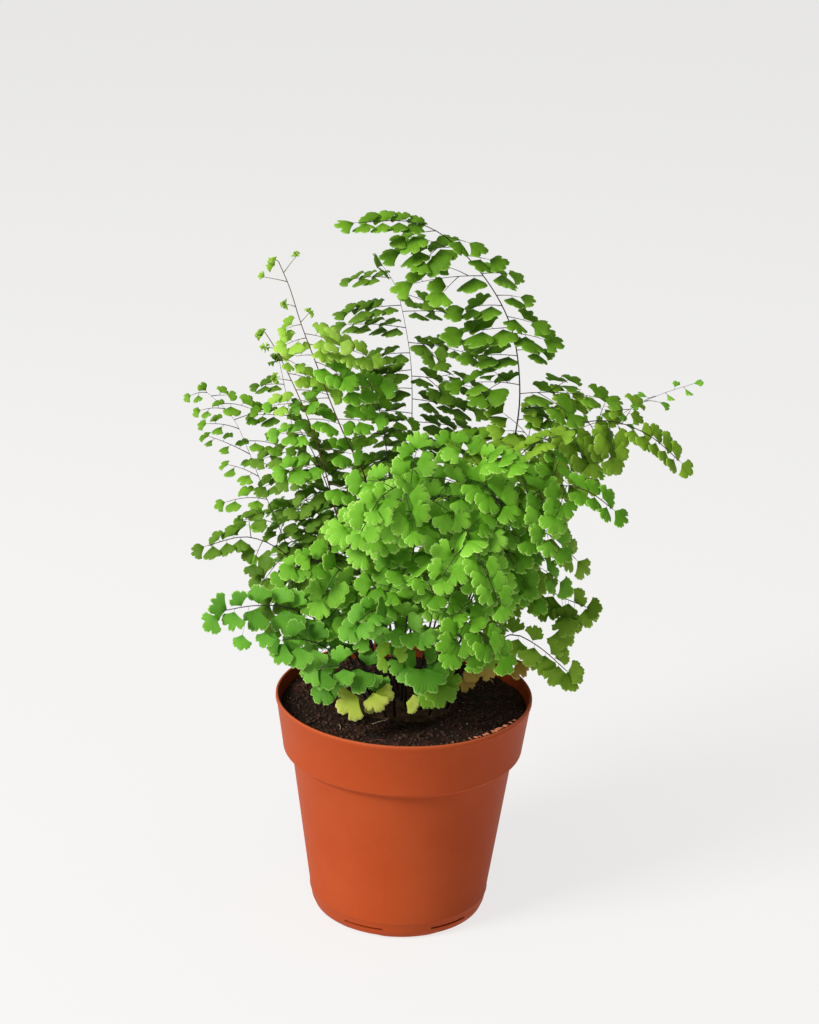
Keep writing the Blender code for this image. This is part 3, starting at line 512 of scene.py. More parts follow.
# Each route runs in millimetres from the crown outwards. A spray is its share of the stem, side, length
# and leaflet scale, and a placed leaflet is its share, turn, stalk, length and, at times, half angle.
fronds = {
    "frontCrown": dict(
        leafy="bright", slot="bright_green", fine=True, bare=0.5, reach=(38, 34), leaf=10.2, lean=1.25,
        route=((-1, -8), (0, -20, 166), (4, -36, 208), (-1, -48, 226), (-12, -60, 224), (-20, -67, 211))),
    "frontRightDrape": dict(
        leafy="bright", slot="bright_green", fine=True, face=-75, bare=0.42, reach=(24, 30), leaf=9.8,
        lean=1.25,
        route=((6, -10), (14, -28, 160), (19, -44, 194), (26, -56, 202), (33, -65, 194), (39, -70, 182))),
    "frontRightCrown": dict(
        slot="bright_green", fine=True, face=-80, bare=0.52, reach=(36, 34), leaf=10.0, lean=1.0,
        route=((5, -5), (14, -16, 166), (23, -28, 212), (32, -40, 236), (42, -52, 238))),
    "rightFront": dict(
        fine=True, face=-60, bare=0.45, reach=(34, 34), leaf=9.6, lean=1.0,
        route=((10, -7), (27, -14, 163), (44, -24, 204), (59, -32, 221), (75, -38, 223), (88, -40, 215))),
    "centreLeft": dict(
        fine=True, face=-110, bare=0.42, reach=(26, 30), leaf=9.8, lean=1.1,
        route=((-8, -8), (-18, -20, 150), (-27, -34, 178), (-40, -43, 188), (-52, -48, 184))),
    "frontCentre": dict(
        slot="bright_green", fine=True, face=-85, bare=0.5, reach=(22, 24), leaf=9.4, lean=1.2,
        route=((1, -13), (0, -34, 152), (2, -48, 180), (6, -58, 190), (11, -66, 184))),
    "frontCentreLow": dict(
        leafy="cool", slot="bright_green", fine=True, face=-105, bare=0.48, reach=(20, 22), leaf=9.4,
        lean=1.2,
        route=((-4, -16), (-8, -34, 142), (-9, -48, 165), (-15, -57, 171), (-22, -62, 166))),
    "frontRightLow": dict(
        slot="bright_green", fine=True, face=-70, bare=0.42, reach=(22, 26), leaf=9.8, lean=1.2,
        route=((8, -14), (12, -36, 143), (19, -50, 165), (29, -59, 166), (40, -65, 156))),
    "tallArching": dict(
        leafy="deep", leaf=10.0, lean=0.38, rise=0.05, onward=(0.0, 0.25), forkFrom=23.0, tipFrom=0.88,
        # paints light on the lamp side of this frond and shade on its far side
        sided=0.25,
        route=((8, 5), (26, 12, 146), (39, 15, 190), (47, 15, 230), (48, 15, 255), (43, 13, 281),
               (31, 10, 303), (13, 6, 322), (-4, 1, 330), (-26, -5, 330)),
        sprays=((0.45, 1, 24, 1), (0.47, -1, 22, 1), (0.5, 1, 20, 1), (0.545, 1, 37, 1),
                (0.56, -1, 24, 1), (0.61, -1, 18, 0.95), (0.62, 1, 10, 0.85), (0.65, 1, 13, 1.05),
                (0.66, -1, 20, 1.05), (0.68, 1, 10, 0.9), (0.7, -1, 15, 0.95), (0.72, 1, 9, 0.85),
                (0.76, -1, 30, 1.1), (0.765, 1, 11, 0.9), (0.805, 1, 9, 0.85), (0.825, -1, 24, 1.05),
                (0.85, 1, 9, 0.9), (0.87, -1, 13, 0.95))),
    "rightArching": dict(
        leafy="olive", face=-65, bare=0.5, reach=(26, 28), leaf=9.8, step=6.8, lean=0.95, spacing=0.7,
        route=((14, 1), (38, 3, 185), (50, 6, 221), (67, 8, 236), (88, 10, 240), (107, 10, 234),
               (122, 10, 222))),
    "leftLow": dict(
        leafy="cool", fine=True, face=-105, bare=0.38, reach=(16, 16), leaf=9.5, step=9.0, lean=1.2,
        route=((-14, -6), (-33, -21, 145), (-50, -31, 160), (-66, -36, 163.5), (-82, -38, 161)),
        placed=((1.0, 236, 3, 9), (0.97, 172, 1, 9.5), (0.94, 258, 1.5, 9), (0.84, 262, 1.2, 11),
                (0.73, 280, 1.2, 12.5), (0.62, 285, 2, 12.5), (0.5, 295, 2.5, 12.5), (0.84, 98, 0.8, 9),
                (0.755, 85, 0.8, 9), (0.68, 80, 0.8, 9), (0.91, 125, 0.6, 7.5), (0.88, 264, 13, 7.5),
                (0.79, 270, 12, 7.5), (0.6, 75, 1, 9.5), (0.52, 80, 1, 9.5), (0.44, 88, 1, 9.5),
                (0.42, 290, 2, 10), (0.68, 275, 9, 9))),
    "leftMiddle": dict(
        leafy="shade", face=-115, bare=0.45, reach=(24, 28), leaf=8.8, step=7.4, lean=0.75,
        route=((-12, -1), (-36, -7, 152), (-54, -12, 178), (-72, -15, 188), (-90, -17, 184))),
    "leftSkirt": dict(
        leafy="cool", fine=True, face=-110, bare=0.4, reach=(13, 13), leaf=9.0, step=9.0, lean=1.15,
        route=((-15, -11), (-32, -27, 137), (-44, -37, 148), (-54, -42, 150)),
        placed=((1.0, 200, 1.5, 8.5), (0.98, 256, 2, 10.5), (0.87, 282, 3, 10.8), (0.9, 110, 1.2, 8),
                (0.78, 286, 3, 9.5), (0.75, 85, 1.5, 9), (0.66, 280, 3, 9), (0.6, 90, 2, 9))),
    "frontLeftSkirt": dict(
        leafy="cool", slot="bright_green", fine=True, face=-105, bare=0.38, reach=(10, 10), leaf=8.0,
        step=9.0, lean=1.1,
        route=((-9, -15), (-15, -34, 132), (-24, -43, 139), (-37, -46, 139)),
        placed=((1.0, 212, 1.5, 9), (0.96, 258, 1.5, 10), (0.72, 276, 1, 11.8, 74), (0.5, 312, 2, 7.8),
                (0.85, 105, 1.2, 8), (0.62, 80, 1.2, 8.5), (0.84, 285, 1.5, 8), (0.6, 290, 1.2, 8.5))),
    "rightMiddle": dict(
        leafy="olive", fine=True, face=-65, bare=0.45, reach=(24, 24), leaf=10.6, step=7.5, lean=1.2,
        spacing=0.7,
        route=((14, -3), (31, -3, 160), (47, -5, 187), (62, -6, 191), (76, -6, 179))),
    "rightLow": dict(
        leafy="olive", fine=True, face=-80,
        route=((18, 3), (38, 8, 148), (50, 9, 165), (58, 8, 163), (70, 7, 156), (83, 6, 151)),
        placed=((1.0, 345, 0.5, 8), (1.0, 285, 1, 9.5), (0.94, 30, 0.5, 7), (0.92, 262, 1.5, 10),
                (0.95, 248, 6, 10), (0.9, 285, 6, 10), (0.82, 262, 5, 10.5), (0.88, 262, 15, 10.5),
                (0.88, 280, 9, 10.5), (0.85, 250, 1.5, 10), (0.8, 275, 10, 11), (0.78, 245, 2, 10.5),
                (0.74, 262, 9, 10.5), (0.72, 250, 1.5, 9.5), (0.84, 276, 17, 11), (0.66, 100, 0.8, 8),
                (0.62, 120, 0.8, 7), (0.7, 30, 0.8, 7), (0.8, 60, 0.6, 7), (0.6, 250, 1.5, 8.5),
                (0.54, 245, 1.5, 9), (0.5, 80, 1.2, 8.5), (0.45, 255, 2, 9.5), (0.4, 70, 1.2, 9),
                (0.36, 270, 2, 9.5))),
    "rightSkirt": dict(
        leafy="olive", fine=True, face=-80,
        route=((18, -5), (33, -10, 130), (47, -14, 144), (60, -16, 140), (74, -16, 128)),
        placed=((1.0, 300, 0.6, 10), (1.0, 352, 0.6, 8), (0.94, 262, 1, 10), (0.9, 25, 0.8, 7.5),
                (0.86, 40, 0.6, 7.5), (0.84, 260, 1.5, 9.8), (0.76, 250, 1.5, 9.5), (0.74, 60, 0.8, 7.5),
                (0.66, 255, 1.5, 9.5), (0.62, 80, 0.8, 8), (0.57, 255, 1.5, 9), (0.5, 80, 1, 8.5),
                (0.47, 265, 2, 9), (0.4, 70, 1, 8), (0.36, 276, 1.5, 11.5), (0.32, 120, 1.5, 8.5))),
    "innerRight": dict(
        leafy="olive", face=-75, bare=0.52, reach=(28, 28), leaf=8.4, step=7.5, lean=0.6,
        route=((9, 0), (29, 0, 170), (43, -6, 217), (53, -12, 234), (64, -17, 240))),
    "innerLeft": dict(
        leafy="shade", face=-100, bare=0.48, reach=(29, 29), leaf=7.8, step=6.2, lean=0.45,
        route=((-7, 7), (-23, 4, 148), (-33, 8, 190), (-43, 13, 216), (-53, 17, 232))),
    "innerBack": dict(
        leafy="deep", bare=0.48, reach=(30, 30), leaf=8.0, step=7.0, lean=0.4,
        route=((-3, 13), (-6, 17, 164), (-10, 20, 208), (-14, 21, 234), (-20, 20, 252))),
    "uprightBack": dict(
        leafy="shade", slot="shade_green", leaf=8.4, lean=0.24, thin=0.5, rise=0.03, onward=(0.0, 0.2),
        forkFrom=29.0, tipFrom=0.97,
        route=((3, 14), (1, 30, 169), (0, 38, 223), (-1, 38, 252), (-4, 38, 272), (-9, 36, 292),
               (-15, 34, 302)),
        sprays=((0.97, -1, 17, 0.8), (0.93, 1, 11, 0.9), (0.9, -1, 24, 0.95), (0.885, 1, 18, 1),
                (0.845, -1, 27, 1), (0.81, 1, 31, 1), (0.785, -1, 20, 1), (0.745, -1, 24, 1),
                (0.73, 1, 30, 1), (0.7, -1, 22, 1), (0.675, 1, 28, 1), (0.64, -1, 24, 1),
                (0.62, 1, 26, 1), (0.58, -1, 20, 1), (0.56, 1, 22, 1), (0.53, -1, 20, 1))),
    "youngTall": dict(
        leafy="young", slot="young_green", stem="brown", leaf=7.4, lean=0.75, rise=0.05,
        onward=(-0.15, 0.05), forkFrom=30.0, curl=1.6, freshBelow=266.0,
        route=((-3, 4), (-13, 4, 178), (-20, 4, 210), (-29, 2, 229), (-36, 0, 246), (-43, -2, 265),
               (-50, -4, 284), (-55, -5, 300), (-60, -6, 312)),
        sprays=((0.815, 1, 26, 1.05), (0.84, 1, 15, 0.9), (0.83, -1, 8, 0.9), (0.79, -1, 7, 0.9),
                (0.775, 1, 13, 1.0), (0.74, 1, 9, 1.0), (0.86, -1, 5, 0.7), (0.71, 1, 23, 1.15),
                (0.69, -1, 11, 1.0), (0.64, 1, 15, 1.1)),
        buds=((0.955, -1, 10), (0.975, 1, 8), (0.865, 1, 5), (0.9, -1, 4))),
    "youngLeaning": dict(
        leafy="young", slot="young_green", stem="brown", leaf=6.8, lean=0.8, rise=0.05,
        onward=(-0.1, 0.1), curl=1.4, freshBelow=246.0,
        route=((-8, 1), (-21, -1, 164), (-32, -1, 192), (-40, -1, 221), (-47, -1, 241), (-54, -1, 257),
               (-61, -1, 271), (-66, -1, 279)),
        sprays=((0.93, 1, 8, 0.75), (0.885, 1, 9, 0.8), (0.84, 1, 14, 1.1), (0.8, -1, 12, 0.9),
                (0.76, 1, 15, 1.0), (0.72, -1, 14, 1.0), (0.68, 1, 14, 1.1), (0.64, -1, 16, 1.1),
                (0.59, 1, 14, 1.2)),
        buds=((0.865, -1, 7), (0.955, -1, 4))),
    "wiryLeft": dict(
        leafy="shade", slot="young_green", leaf=6.4, lean=0.35, thin=0.5, rise=0.05, onward=(-0.1, 0.2),
        curl=1.2,
        route=((-11, 6), (-38, 12, 148), (-48, 16, 179), (-52, 17, 205), (-55, 17, 232), (-61, 17, 262)),
        sprays=((0.93, -1, 10, 1.0), (0.89, 1, 12, 1.0), (0.84, -1, 14, 1.0), (0.79, 1, 14, 1.0),
                (0.74, -1, 13, 1.1), (0.7, 1, 14, 1.2), (0.66, -1, 14, 1.2), (0.61, 1, 15, 1.2),
                (0.57, -1, 15, 1.2)),
        buds=()),
    "airyLeft": dict(
        leafy="deep", face=-100, leaf=5.3, lean=0.7, spacing=1.7, thin=0.35, onward=(0.2, 0.8),
        forkFrom=99.0, tipFrom=1.0,
        route=((-15, 4), (-45, 9, 153), (-63, 13, 190), (-71, 15, 210), (-81, 14, 234), (-93, 12, 247)),
        sprays=((1.0, -1, 6, 0.75), (0.985, 1, 6, 0.8), (0.95, 1, 13, 1.1), (0.93, -1, 10, 0.9),
                (0.89, 1, 20, 1.1), (0.86, -1, 15, 1.0), (0.82, 1, 18, 1.1), (0.78, -1, 24, 1.1),
                (0.75, 1, 16, 1.1), (0.71, -1, 17, 1.1), (0.68, 1, 16, 1.2), (0.64, -1, 18, 1.2),
                (0.6, 1, 15, 1.2), (0.56, -1, 16, 1.2), (0.5, 1, 14, 1.2), (0.46, -1, 14, 1.2))),
    "airyRight": dict(
        face=-80, leaf=6.0, lean=0.5, spacing=1.7, half=36.0, thin=0.4, forkFrom=99.0, tipFrom=0.92,
        route=((15, 8), (51, 25, 181), (75, 32, 216), (95, 36, 234), (112, 38, 244), (129, 40, 250)),
        sprays=((0.91, -1, 7, 0.9), (0.88, 1, 6, 0.9), (0.84, -1, 8, 1), (0.79, -1, 15, 1.1),
                (0.77, 1, 9, 1), (0.73, -1, 20, 1.1), (0.7, 1, 12, 1), (0.66, -1, 20, 1.1),
                (0.62, 1, 14, 1.1), (0.58, -1, 18, 1.1), (0.54, 1, 16, 1.1), (0.5, -1, 16, 1.1))),
    "backLeft": dict(
        slot="shade_green", face=None, bare=0.42, reach=(30, 30), leaf=8.6, step=8.5, lean=0.9,
        route=((-10, 12), (-30, 32, 150), (-44, 50, 178), (-56, 64, 180), (-64, 76, 166))),
    "backRight": dict(
        slot="shade_green", face=None, bare=0.42, reach=(32, 32), leaf=8.6, step=8.5, lean=0.9,
        route=((9, 13), (26, 34, 156), (42, 56, 188), (56, 70, 190), (68, 82, 174))),
    "backCentre": dict(
        slot="shade_green", face=None, bare=0.42, reach=(32, 32), leaf=8.6, step=8.5, lean=0.9,
        route=((0, 18), (-2, 40, 156), (-5, 60, 192), (-8, 78, 198), (-12, 94, 184))),
    "backLowLeft": dict(
        leafy="cool", slot="shade_green", face=None, bare=0.42, reach=(22, 22), leaf=8.4, lean=1.1,
        route=((-8, 17), (-22, 42, 136), (-34, 60, 148), (-44, 74, 138))),
    "backLowRight": dict(
        leafy="cool", slot="shade_green", face=None, bare=0.42, reach=(22, 22), leaf=8.4, lean=1.1,
        route=((8, 17), (22, 42, 136), (36, 60, 150), (48, 72, 140))),
    "basalCentre": dict(
        leafy="cool", fine=True,
        route=((3, -18), (6, -38, 133), (9, -49, 142.5)),
        placed=((1.0, 271, 0.8, 12.8, 76), (0.92, 160, 3, 8.5), (0.86, 25, 2.5, 8.5), (0.8, 200, 2, 8))),
    "basalDark": dict(
        leafy="deep", fine=True, face=-80,
        route=((12, -17), (15, -34, 124), (17, -43, 133)),
        placed=((1.0, 272, 0.8, 11.8, 70), (0.85, 20, 2, 8.5), (0.8, 225, 4, 8.5))),
    "basalPale": dict(
        leafy="young", fine=True, face=-95,
        route=((-4, -20), (-5, -36, 134), (-6, -47, 147)),
        placed=((1.0, 158, 0.6, 6.6), (1.0, 18, 0.6, 6.8), (0.8, 200, 1.5, 6))),
    "basalYellowLeft": dict(
        leafy="yellow", slot="yellow_green", fine=True, face=-100,
        route=((-14, -15), (-17, -33, 118), (-20, -42, 124)),
        placed=((1.0, 222, 0.6, 11.8, 72), (0.8, 330, 1, 7))),
    "basalYellowFront": dict(
        leafy="yellow", slot="yellow_green", fine=True,
        route=((-8, -20), (-11, -34, 120), (-14, -42, 126.5)),
        placed=((1.0, 282, 0.6, 9.6, 60), (1.0, 338, 1.2, 8.8, 56), (0.85, 345, 14, 6.5))),
    "basalTan": dict(
        leafy="tan", slot="tan_leaf", fine=True, face=-75,
        route=((20, -9), (29, -12, 124), (40, -11, 130.5), (51, -9, 130.5)),
        placed=((0.46, 258, 1, 8), (0.72, 268, 1, 8.8, 48), (1.0, 292, 0.6, 9.8, 50), (0.58, 250, 2, 6.5),
                (0.88, 40, 0.8, 6))),
}


def frondSpec(name):
    words = "".join("_" + letter.lower() if letter.isupper() else letter for letter in name)
    kind = "_leaflets" if name.startswith("basal") else "_frond"
    return {**usual, "node": words + kind, **fronds[name]}


growth = {
    "stemBase": 0.66, "stemTip": 0.20,
    "twigBase": 0.22, "twigTip": 0.13,
    "stalk": 1.4, "stalkWidth": 0.10,
    "room": 0.12,                 # half the space kept round a leaflet
    "shingle": 17.0,              # each leaflet's far edge dips under the next, in degrees
    "rate": 0.74,                 # side branches, in steps
    "turns": (0, 9, -9, 18, -18, 30, -30),        # tried in turn when a leaflet has no room
    "sizes": (1.0, 0.86, 0.72),
    "shifts": (0.0, 1.2, -1.2, 2.4, -2.4, 3.8, 5.4, -4.0),
    "routeStep": 4.5,
}

crownLook = {"across": 26.0, "deep": 23.0, "low": 101.2, "high": 5.5, "foot": 98.0, "rings": 26, "turns": 96}


def crownHeight(x, y):
    inside = 1.0 - (x / crownLook["across"]) ** 2 - (y / crownLook["deep"]) ** 2
    lumps = 0.5 * math.sin(x * 0.45) * math.cos(y * 0.5 + 0.6)
    return crownLook["low"] + (crownLook["high"] + lumps) * math.sqrt(max(0.0, inside))


def smoothRoute(points, step):
    dense = []
    count = len(points)
    for index in range(count - 1):
        before, start = points[max(0, index - 1)], points[index]
        end, after = points[index + 1], points[min(count - 1, index + 2)]
        for part in range(14):
            t = part / 14.0
            inward, outward = (end - before) * 0.5, (after - start) * 0.5
            dense.append(start * (2 * t ** 3 - 3 * t * t + 1) + inward * (t ** 3 - 2 * t * t + t)
                         + end * (3 * t * t - 2 * t ** 3) + outward * (t ** 3 - t * t))
    dense.append(points[-1])
    lengths = np.cumsum([0.0] + [(b - a).length for a, b in zip(dense, dense[1:])])
    wanted = np.linspace(0.0, lengths[-1], max(3, round(lengths[-1] / step)) + 1)
    flat = np.array([tuple(point) for point in dense])
    columns = [np.interp(wanted, lengths, flat[:, axis]) for axis in range(3)]
    return [Vector(point) for point in np.stack(columns, axis=1)]


def curledTip(points, radius):
    ahead = (points[-1] - points[-2]).normalized()
    side = Vector((0.0, 1.0, 0.0)).cross(ahead).normalized()
    centre = points[-1] - side * radius
    tail = []
    for index in range(1, 9):
        angle = index * 0.5
        inwards = radius * (1.0 - 0.06 * index)
        tail.append(centre + (side * math.cos(angle) + ahead * math.sin(angle)) * inwards)
    return tail


class Stem:                       # a stem or twig with evenly spaced points
    def __init__(self, points, base, tip, top):
        self.points = points
        self.base = base
        self.tip = tip
        self.top = top
        self.length = sum((b - a).length for a, b in zip(points, points[1:]))

    def at(self, share):
        place = min(max(share, 0.0), 1.0) * (len(self.points) - 1)
        index = min(int(place), len(self.points) - 2)
        return self.points[index].lerp(self.points[index + 1], place - index)

    def frame(self, share):
        along = (self.at(share + 0.03) - self.at(share - 0.03)).normalized()
        top = (self.top - along * self.top.dot(along)).normalized()
        return along, top, along.cross(top)

    def width(self, share):
        return self.tip + (self.base - self.tip) * (1.0 - share) ** 1.7


class Room:                       # what is already placed, as small shells a new leaflet may not touch
    def __init__(self):
        self.cells = {}

    def keys(self, shell):
        low = [int((c - shell["reach"]) // 16) for c in shell["centre"]]
        high = [int((c + shell["reach"]) // 16) for c in shell["centre"]]
        for x in range(low[0], high[0] + 1):
            for y in range(low[1], high[1] + 1):
                for z in range(low[2], high[2] + 1):
                    yield (x, y, z)

    def add(self, shell):
        for key in self.keys(shell):
            self.cells.setdefault(key, []).append(shell)

    def free(self, shell, skip):  # skip is a stem whose own wire may be touched
        seen = set()
        for key in self.keys(shell):
            for other in self.cells.get(key, ()):
                if id(other) in seen or other["owner"] is skip:
                    continue
                seen.add(id(other))
                reach = other["reach"] + shell["reach"]
                if (other["centre"] - shell["centre"]).length_squared > reach * reach:
                    continue
                if other["tree"].overlap(shell["tree"]):
                    return False
        return True

    def take(self, shells, skip):  # place the shells if all of them are free
        if not all(self.free(shell, skip) for shell in shells):
            return False
        for shell in shells:
            self.add(shell)
        return True


def shellFrom(points, faces, owner):
    centre = sum(points, Vector()) / len(points)
    reach = max((point - centre).length for point in points)
    return dict(tree=BVHTree.FromPolygons(points, faces), centre=centre, reach=reach, owner=owner)


tubeShellFaces = [(0, 1, 2, 3), (8, 9, 10, 11)]
for low in (0, 4):
    for one, two in ((0, 1), (1, 2), (2, 3), (3, 0)):
        tubeShellFaces.append((low + one, low + two, low + 4 + two, low + 4 + one))


def tubeShells(stem, skipStart):
    shells = []
    count = len(stem.points)
    for index in range(0, count - 1, 2):
        three = [stem.points[index], stem.points[min(index + 1, count - 1)],
                 stem.points[min(index + 2, count - 1)]]
        if index == 0 and skipStart > 0.0:
            step = three[1] - three[0]
            three[0] = three[0] + step * min(0.8, skipStart / max(step.length, 0.1))
        if (three[2] - three[1]).length < 0.01:
            three[2] = three[1] + (three[1] - three[0]) * 0.1
        half = stem.width(index / (count - 1.0)) * 1.2 + growth["room"]
        corners = []
        for point, before, after in zip(three, [three[0]] + three, three[1:] + [three[2]]):
            along = (after - before).normalized()
            side = along.orthogonal().normalized() * half
            other = along.cross(side).normalized() * half
            corners += [point + side, point + other, point - side, point - other]
        shells.append(shellFrom(corners, tubeShellFaces, stem))
    return shells


def leafShell(leaf):
    heading, side, normal, start = leaf["heading"], leaf["side"], leaf["normal"], leaf["start"]
    length, half = leaf["length"], math.radians(leaf["half"])
    outline = [start - heading * (leaf["stalk"] * 0.5)]
    for share, radius in ((-1.0, 0.70), (-0.55, 0.96), (0.0, 1.03), (0.55, 0.96), (1.0, 0.70)):
        flat = heading * math.cos(half * share) + side * math.sin(half * share)
        sink = leaf["droop"] + leaf["cup"] * share * share
        outline.append(start + flat * length * radius - normal * sink * length)
    lift = normal * growth["room"]
    points = [point + lift for point in outline] + [point - lift for point in outline]
    faces = []
    for index in range(1, 5):
        faces.append((0, index, index + 1))
        faces.append((6, 6 + index + 1, 6 + index))
    for index in range(6):
        after = (index + 1) % 6
        faces.append((index, 6 + index, 6 + after, after))
    return shellFrom(points, faces, leaf)


def tryLeaf(room, stem, place, heading, normal, length, rng, pose):
    roll = pose["roll"] + rng.uniform(-3.0, 3.0)
    nod = pose["nod"] + rng.uniform(-4.0, 4.0)
    size = rng.uniform(0.86, 1.14)
    half = pose["half"] + rng.uniform(-8.0, 8.0)
    stalk = growth["stalk"] * rng.uniform(0.7, 1.3)
    for shrink in growth["sizes"]:
        for turn in growth["turns"]:
            swung = (Matrix.Rotation(math.radians(turn), 3, normal) @ heading).normalized()
            cross = swung.cross(normal).normalized()
            face = Matrix.Rotation(math.radians(roll), 3, swung) @ normal
            face = Matrix.Rotation(math.radians(nod), 3, cross) @ face
            face = (face - swung * face.dot(swung)).normalized()
            leaf = dict(start=place + swung * stalk, heading=swung, normal=face,
                        side=swung.cross(face).normalized(), length=length * size * shrink, half=half,
                        droop=pose["droop"], cup=pose["cup"], stalk=stalk, root=place,
                        lopsided=pose["lopsided"], tone=0.5 * pose["tone"] + 0.5 * rng.random())
            if room.take([leafShell(leaf)], stem):
                return leaf
    return None


def leafPose(rng, half):          # how the leaflets of one twig are held
    return dict(roll=0.0, half=half, nod=rng.uniform(-12.0, 8.0), droop=rng.uniform(0.06, 0.18),
                cup=rng.uniform(0.02, 0.12), lopsided=0.0, tone=rng.random())


def growLeaves(room, stem, first, last, length, rng, leaves):
    spacing = length * stem.spec["spacing"] * 0.5
    sign = rng.choice((-1.0, 1.0))
    pose = leafPose(rng, stem.spec["half"])
    along, top, side = stem.frame(1.0)
    leaves.append(tryLeaf(room, stem, stem.points[-1], along, top, length * 0.95, rng, pose))
    for index in range(int((last - first) * stem.length / spacing)):
        share = last - (index + 0.7) * spacing / stem.length
        along, top, side = stem.frame(share)
        sign = -sign
        angle = math.radians(rng.uniform(58.0, 78.0))
        heading = along * math.cos(angle) + side * sign * math.sin(angle)
        held = dict(pose, roll=-growth["shingle"] * sign, lopsided=-0.10 * sign)
        grown = length * (1.0 if share < 0.8 * last else 0.88)
        leaves.append(tryLeaf(room, stem, stem.at(share), heading, top, grown, rng, held))


def twigFrom(start, heading, length, normal, fall, bend=0.0, rise=0.17):
    cross = heading.cross(normal)
    points = []
    for index in range(7):
        run = length * index / 6.0
        arc = fall * run * run / length
        points.append(start + heading * run + up * (rise * run - arc) + cross * (bend * run * run / length))
    return Stem(points, growth["twigBase"], growth["twigTip"], normal)


def branchLength(spec, share, sign):
    reach = spec["reach"][0 if sign < 0 else 1]
    return reach * min(1.0, 0.72 + share * 1.6) * (1.0 - share) ** 0.55


def growBranch(room, stem, share, sign, length, size, spec, rng, bladeShare, twigs, leaves):
    along = stem.frame(share)[0]
    facing = stem.facing
    lean = spec["lean"] * (0.8 + 0.4 * bladeShare)
    normal = (up + facing * lean).normalized()
    spread = along.cross(normal).normalized() * sign
    if "sprays" in spec:          # upright fronds hold their tiers out level
        spread = up.cross(facing) * sign
    onward = along - normal * along.dot(normal)
    for attempt in range(7):
        heading = spread + onward * rng.uniform(*spec["onward"]) + facing * rng.uniform(-0.35, 0.45)
        heading += up * rng.uniform(-0.22, 0.16) * ("curl" in spec)
        heading = (heading - normal * heading.dot(normal) * 0.6).normalized()
        rise = spec["rise"]
        twig = twigFrom(stem.at(share), heading, length * (1.0 - 0.07 * attempt), normal,
                        rise + rng.uniform(0.04, 0.14), rng.uniform(-0.12, 0.12), rise)
        if room.take(tubeShells(twig, 2.0), stem):
            break
    else:
        return
    twigs.append(twig)
    twig.spec = spec
    if length > spec["forkFrom"]:  # a broad side branch forks near its foot
        for where, side in ((0.22, 1.0), (0.36, -1.0)):
            growFork(room, twig, where, side, size, rng, twigs, leaves)
    growLeaves(room, twig, 2.0 / length, 1.0, size, rng, leaves)


def growFork(room, twig, share, sign, size, rng, twigs, leaves):
    along, top, side = twig.frame(share)
    heading = (along * 0.66 + side * sign * 0.75).normalized()
    fork = twigFrom(twig.at(share), heading, twig.length * (0.56 - share * 0.5), top, 0.12, 0.0, 0.04)
    fork.spec = twig.spec
    if room.take(tubeShells(fork, 2.0), twig):
        twigs.append(fork)
        growLeaves(room, fork, 0.4, 1.0, size * 0.94, rng, leaves)


def growFrond(room, stem, spec, seed):
    rng = random.Random(seed)
    twigs, leaves = [], []
    size = spec.get("leaf")
    if "placed" in spec:
        growPlaced(room, stem, spec, rng, leaves)
        missing = leaves.count(None)
        if missing:
            print("no room for", missing, "of", len(leaves), "leaflets on", spec["node"])
    for share, sign, length, scale in spec.get("sprays", ()):
        growBranch(room, stem, share, sign, length, size * scale, spec, rng, 0.5, twigs, leaves)
    if "reach" in spec:
        end = 0.96
        count = int((end - spec["bare"]) * stem.length / (spec["step"] * growth["rate"]))
        sign = 1.0 if seed % 2 else -1.0
        for index in range(count):
            bladeShare = index / max(1.0, count - 1.0)
            share = spec["bare"] + (end - spec["bare"]) * (index + rng.uniform(0.0, 0.4)) / count
            sign = -sign
            length = branchLength(spec, bladeShare, sign) * rng.uniform(0.85, 1.15)
            if length > size * 1.1:
                growBranch(room, stem, share, sign, length, size * (1.0 - 0.15 * bladeShare), spec, rng,
                           bladeShare, twigs, leaves)
    if "curl" not in spec and "placed" not in spec:
        own = stem.top
        stem.top = (up + stem.facing * spec["lean"]).normalized()
        growLeaves(room, stem, spec["tipFrom"], 0.995, size * 0.86, rng, leaves)
        if spec["fine"]:
            growCover(room, stem, spec, rng, leaves)
        stem.top = own
    return twigs, leaves


def growCover(room, stem, spec, rng, leaves):     # leaflets lying over the stem of a front frond
    share, sign = spec["bare"] + 0.05, 1.0
    while share < 0.99:
        along, top, side = stem.frame(share)
        sign = -sign
        heading = (along * 0.8 + side * sign * 0.35).normalized()
        pose = leafPose(rng, spec["half"])
        place = stem.at(share) - heading * spec["leaf"] * 0.35 + top * rng.uniform(0.9, 1.3)
        leaf = tryLeaf(room, stem, place, heading, top, spec["leaf"] * 0.95, rng, pose)
        if leaf:
            leaf["root"] = stem.at(share - 0.02)
        leaves.append(leaf)
        share += spec["leaf"] * 0.42 / stem.length


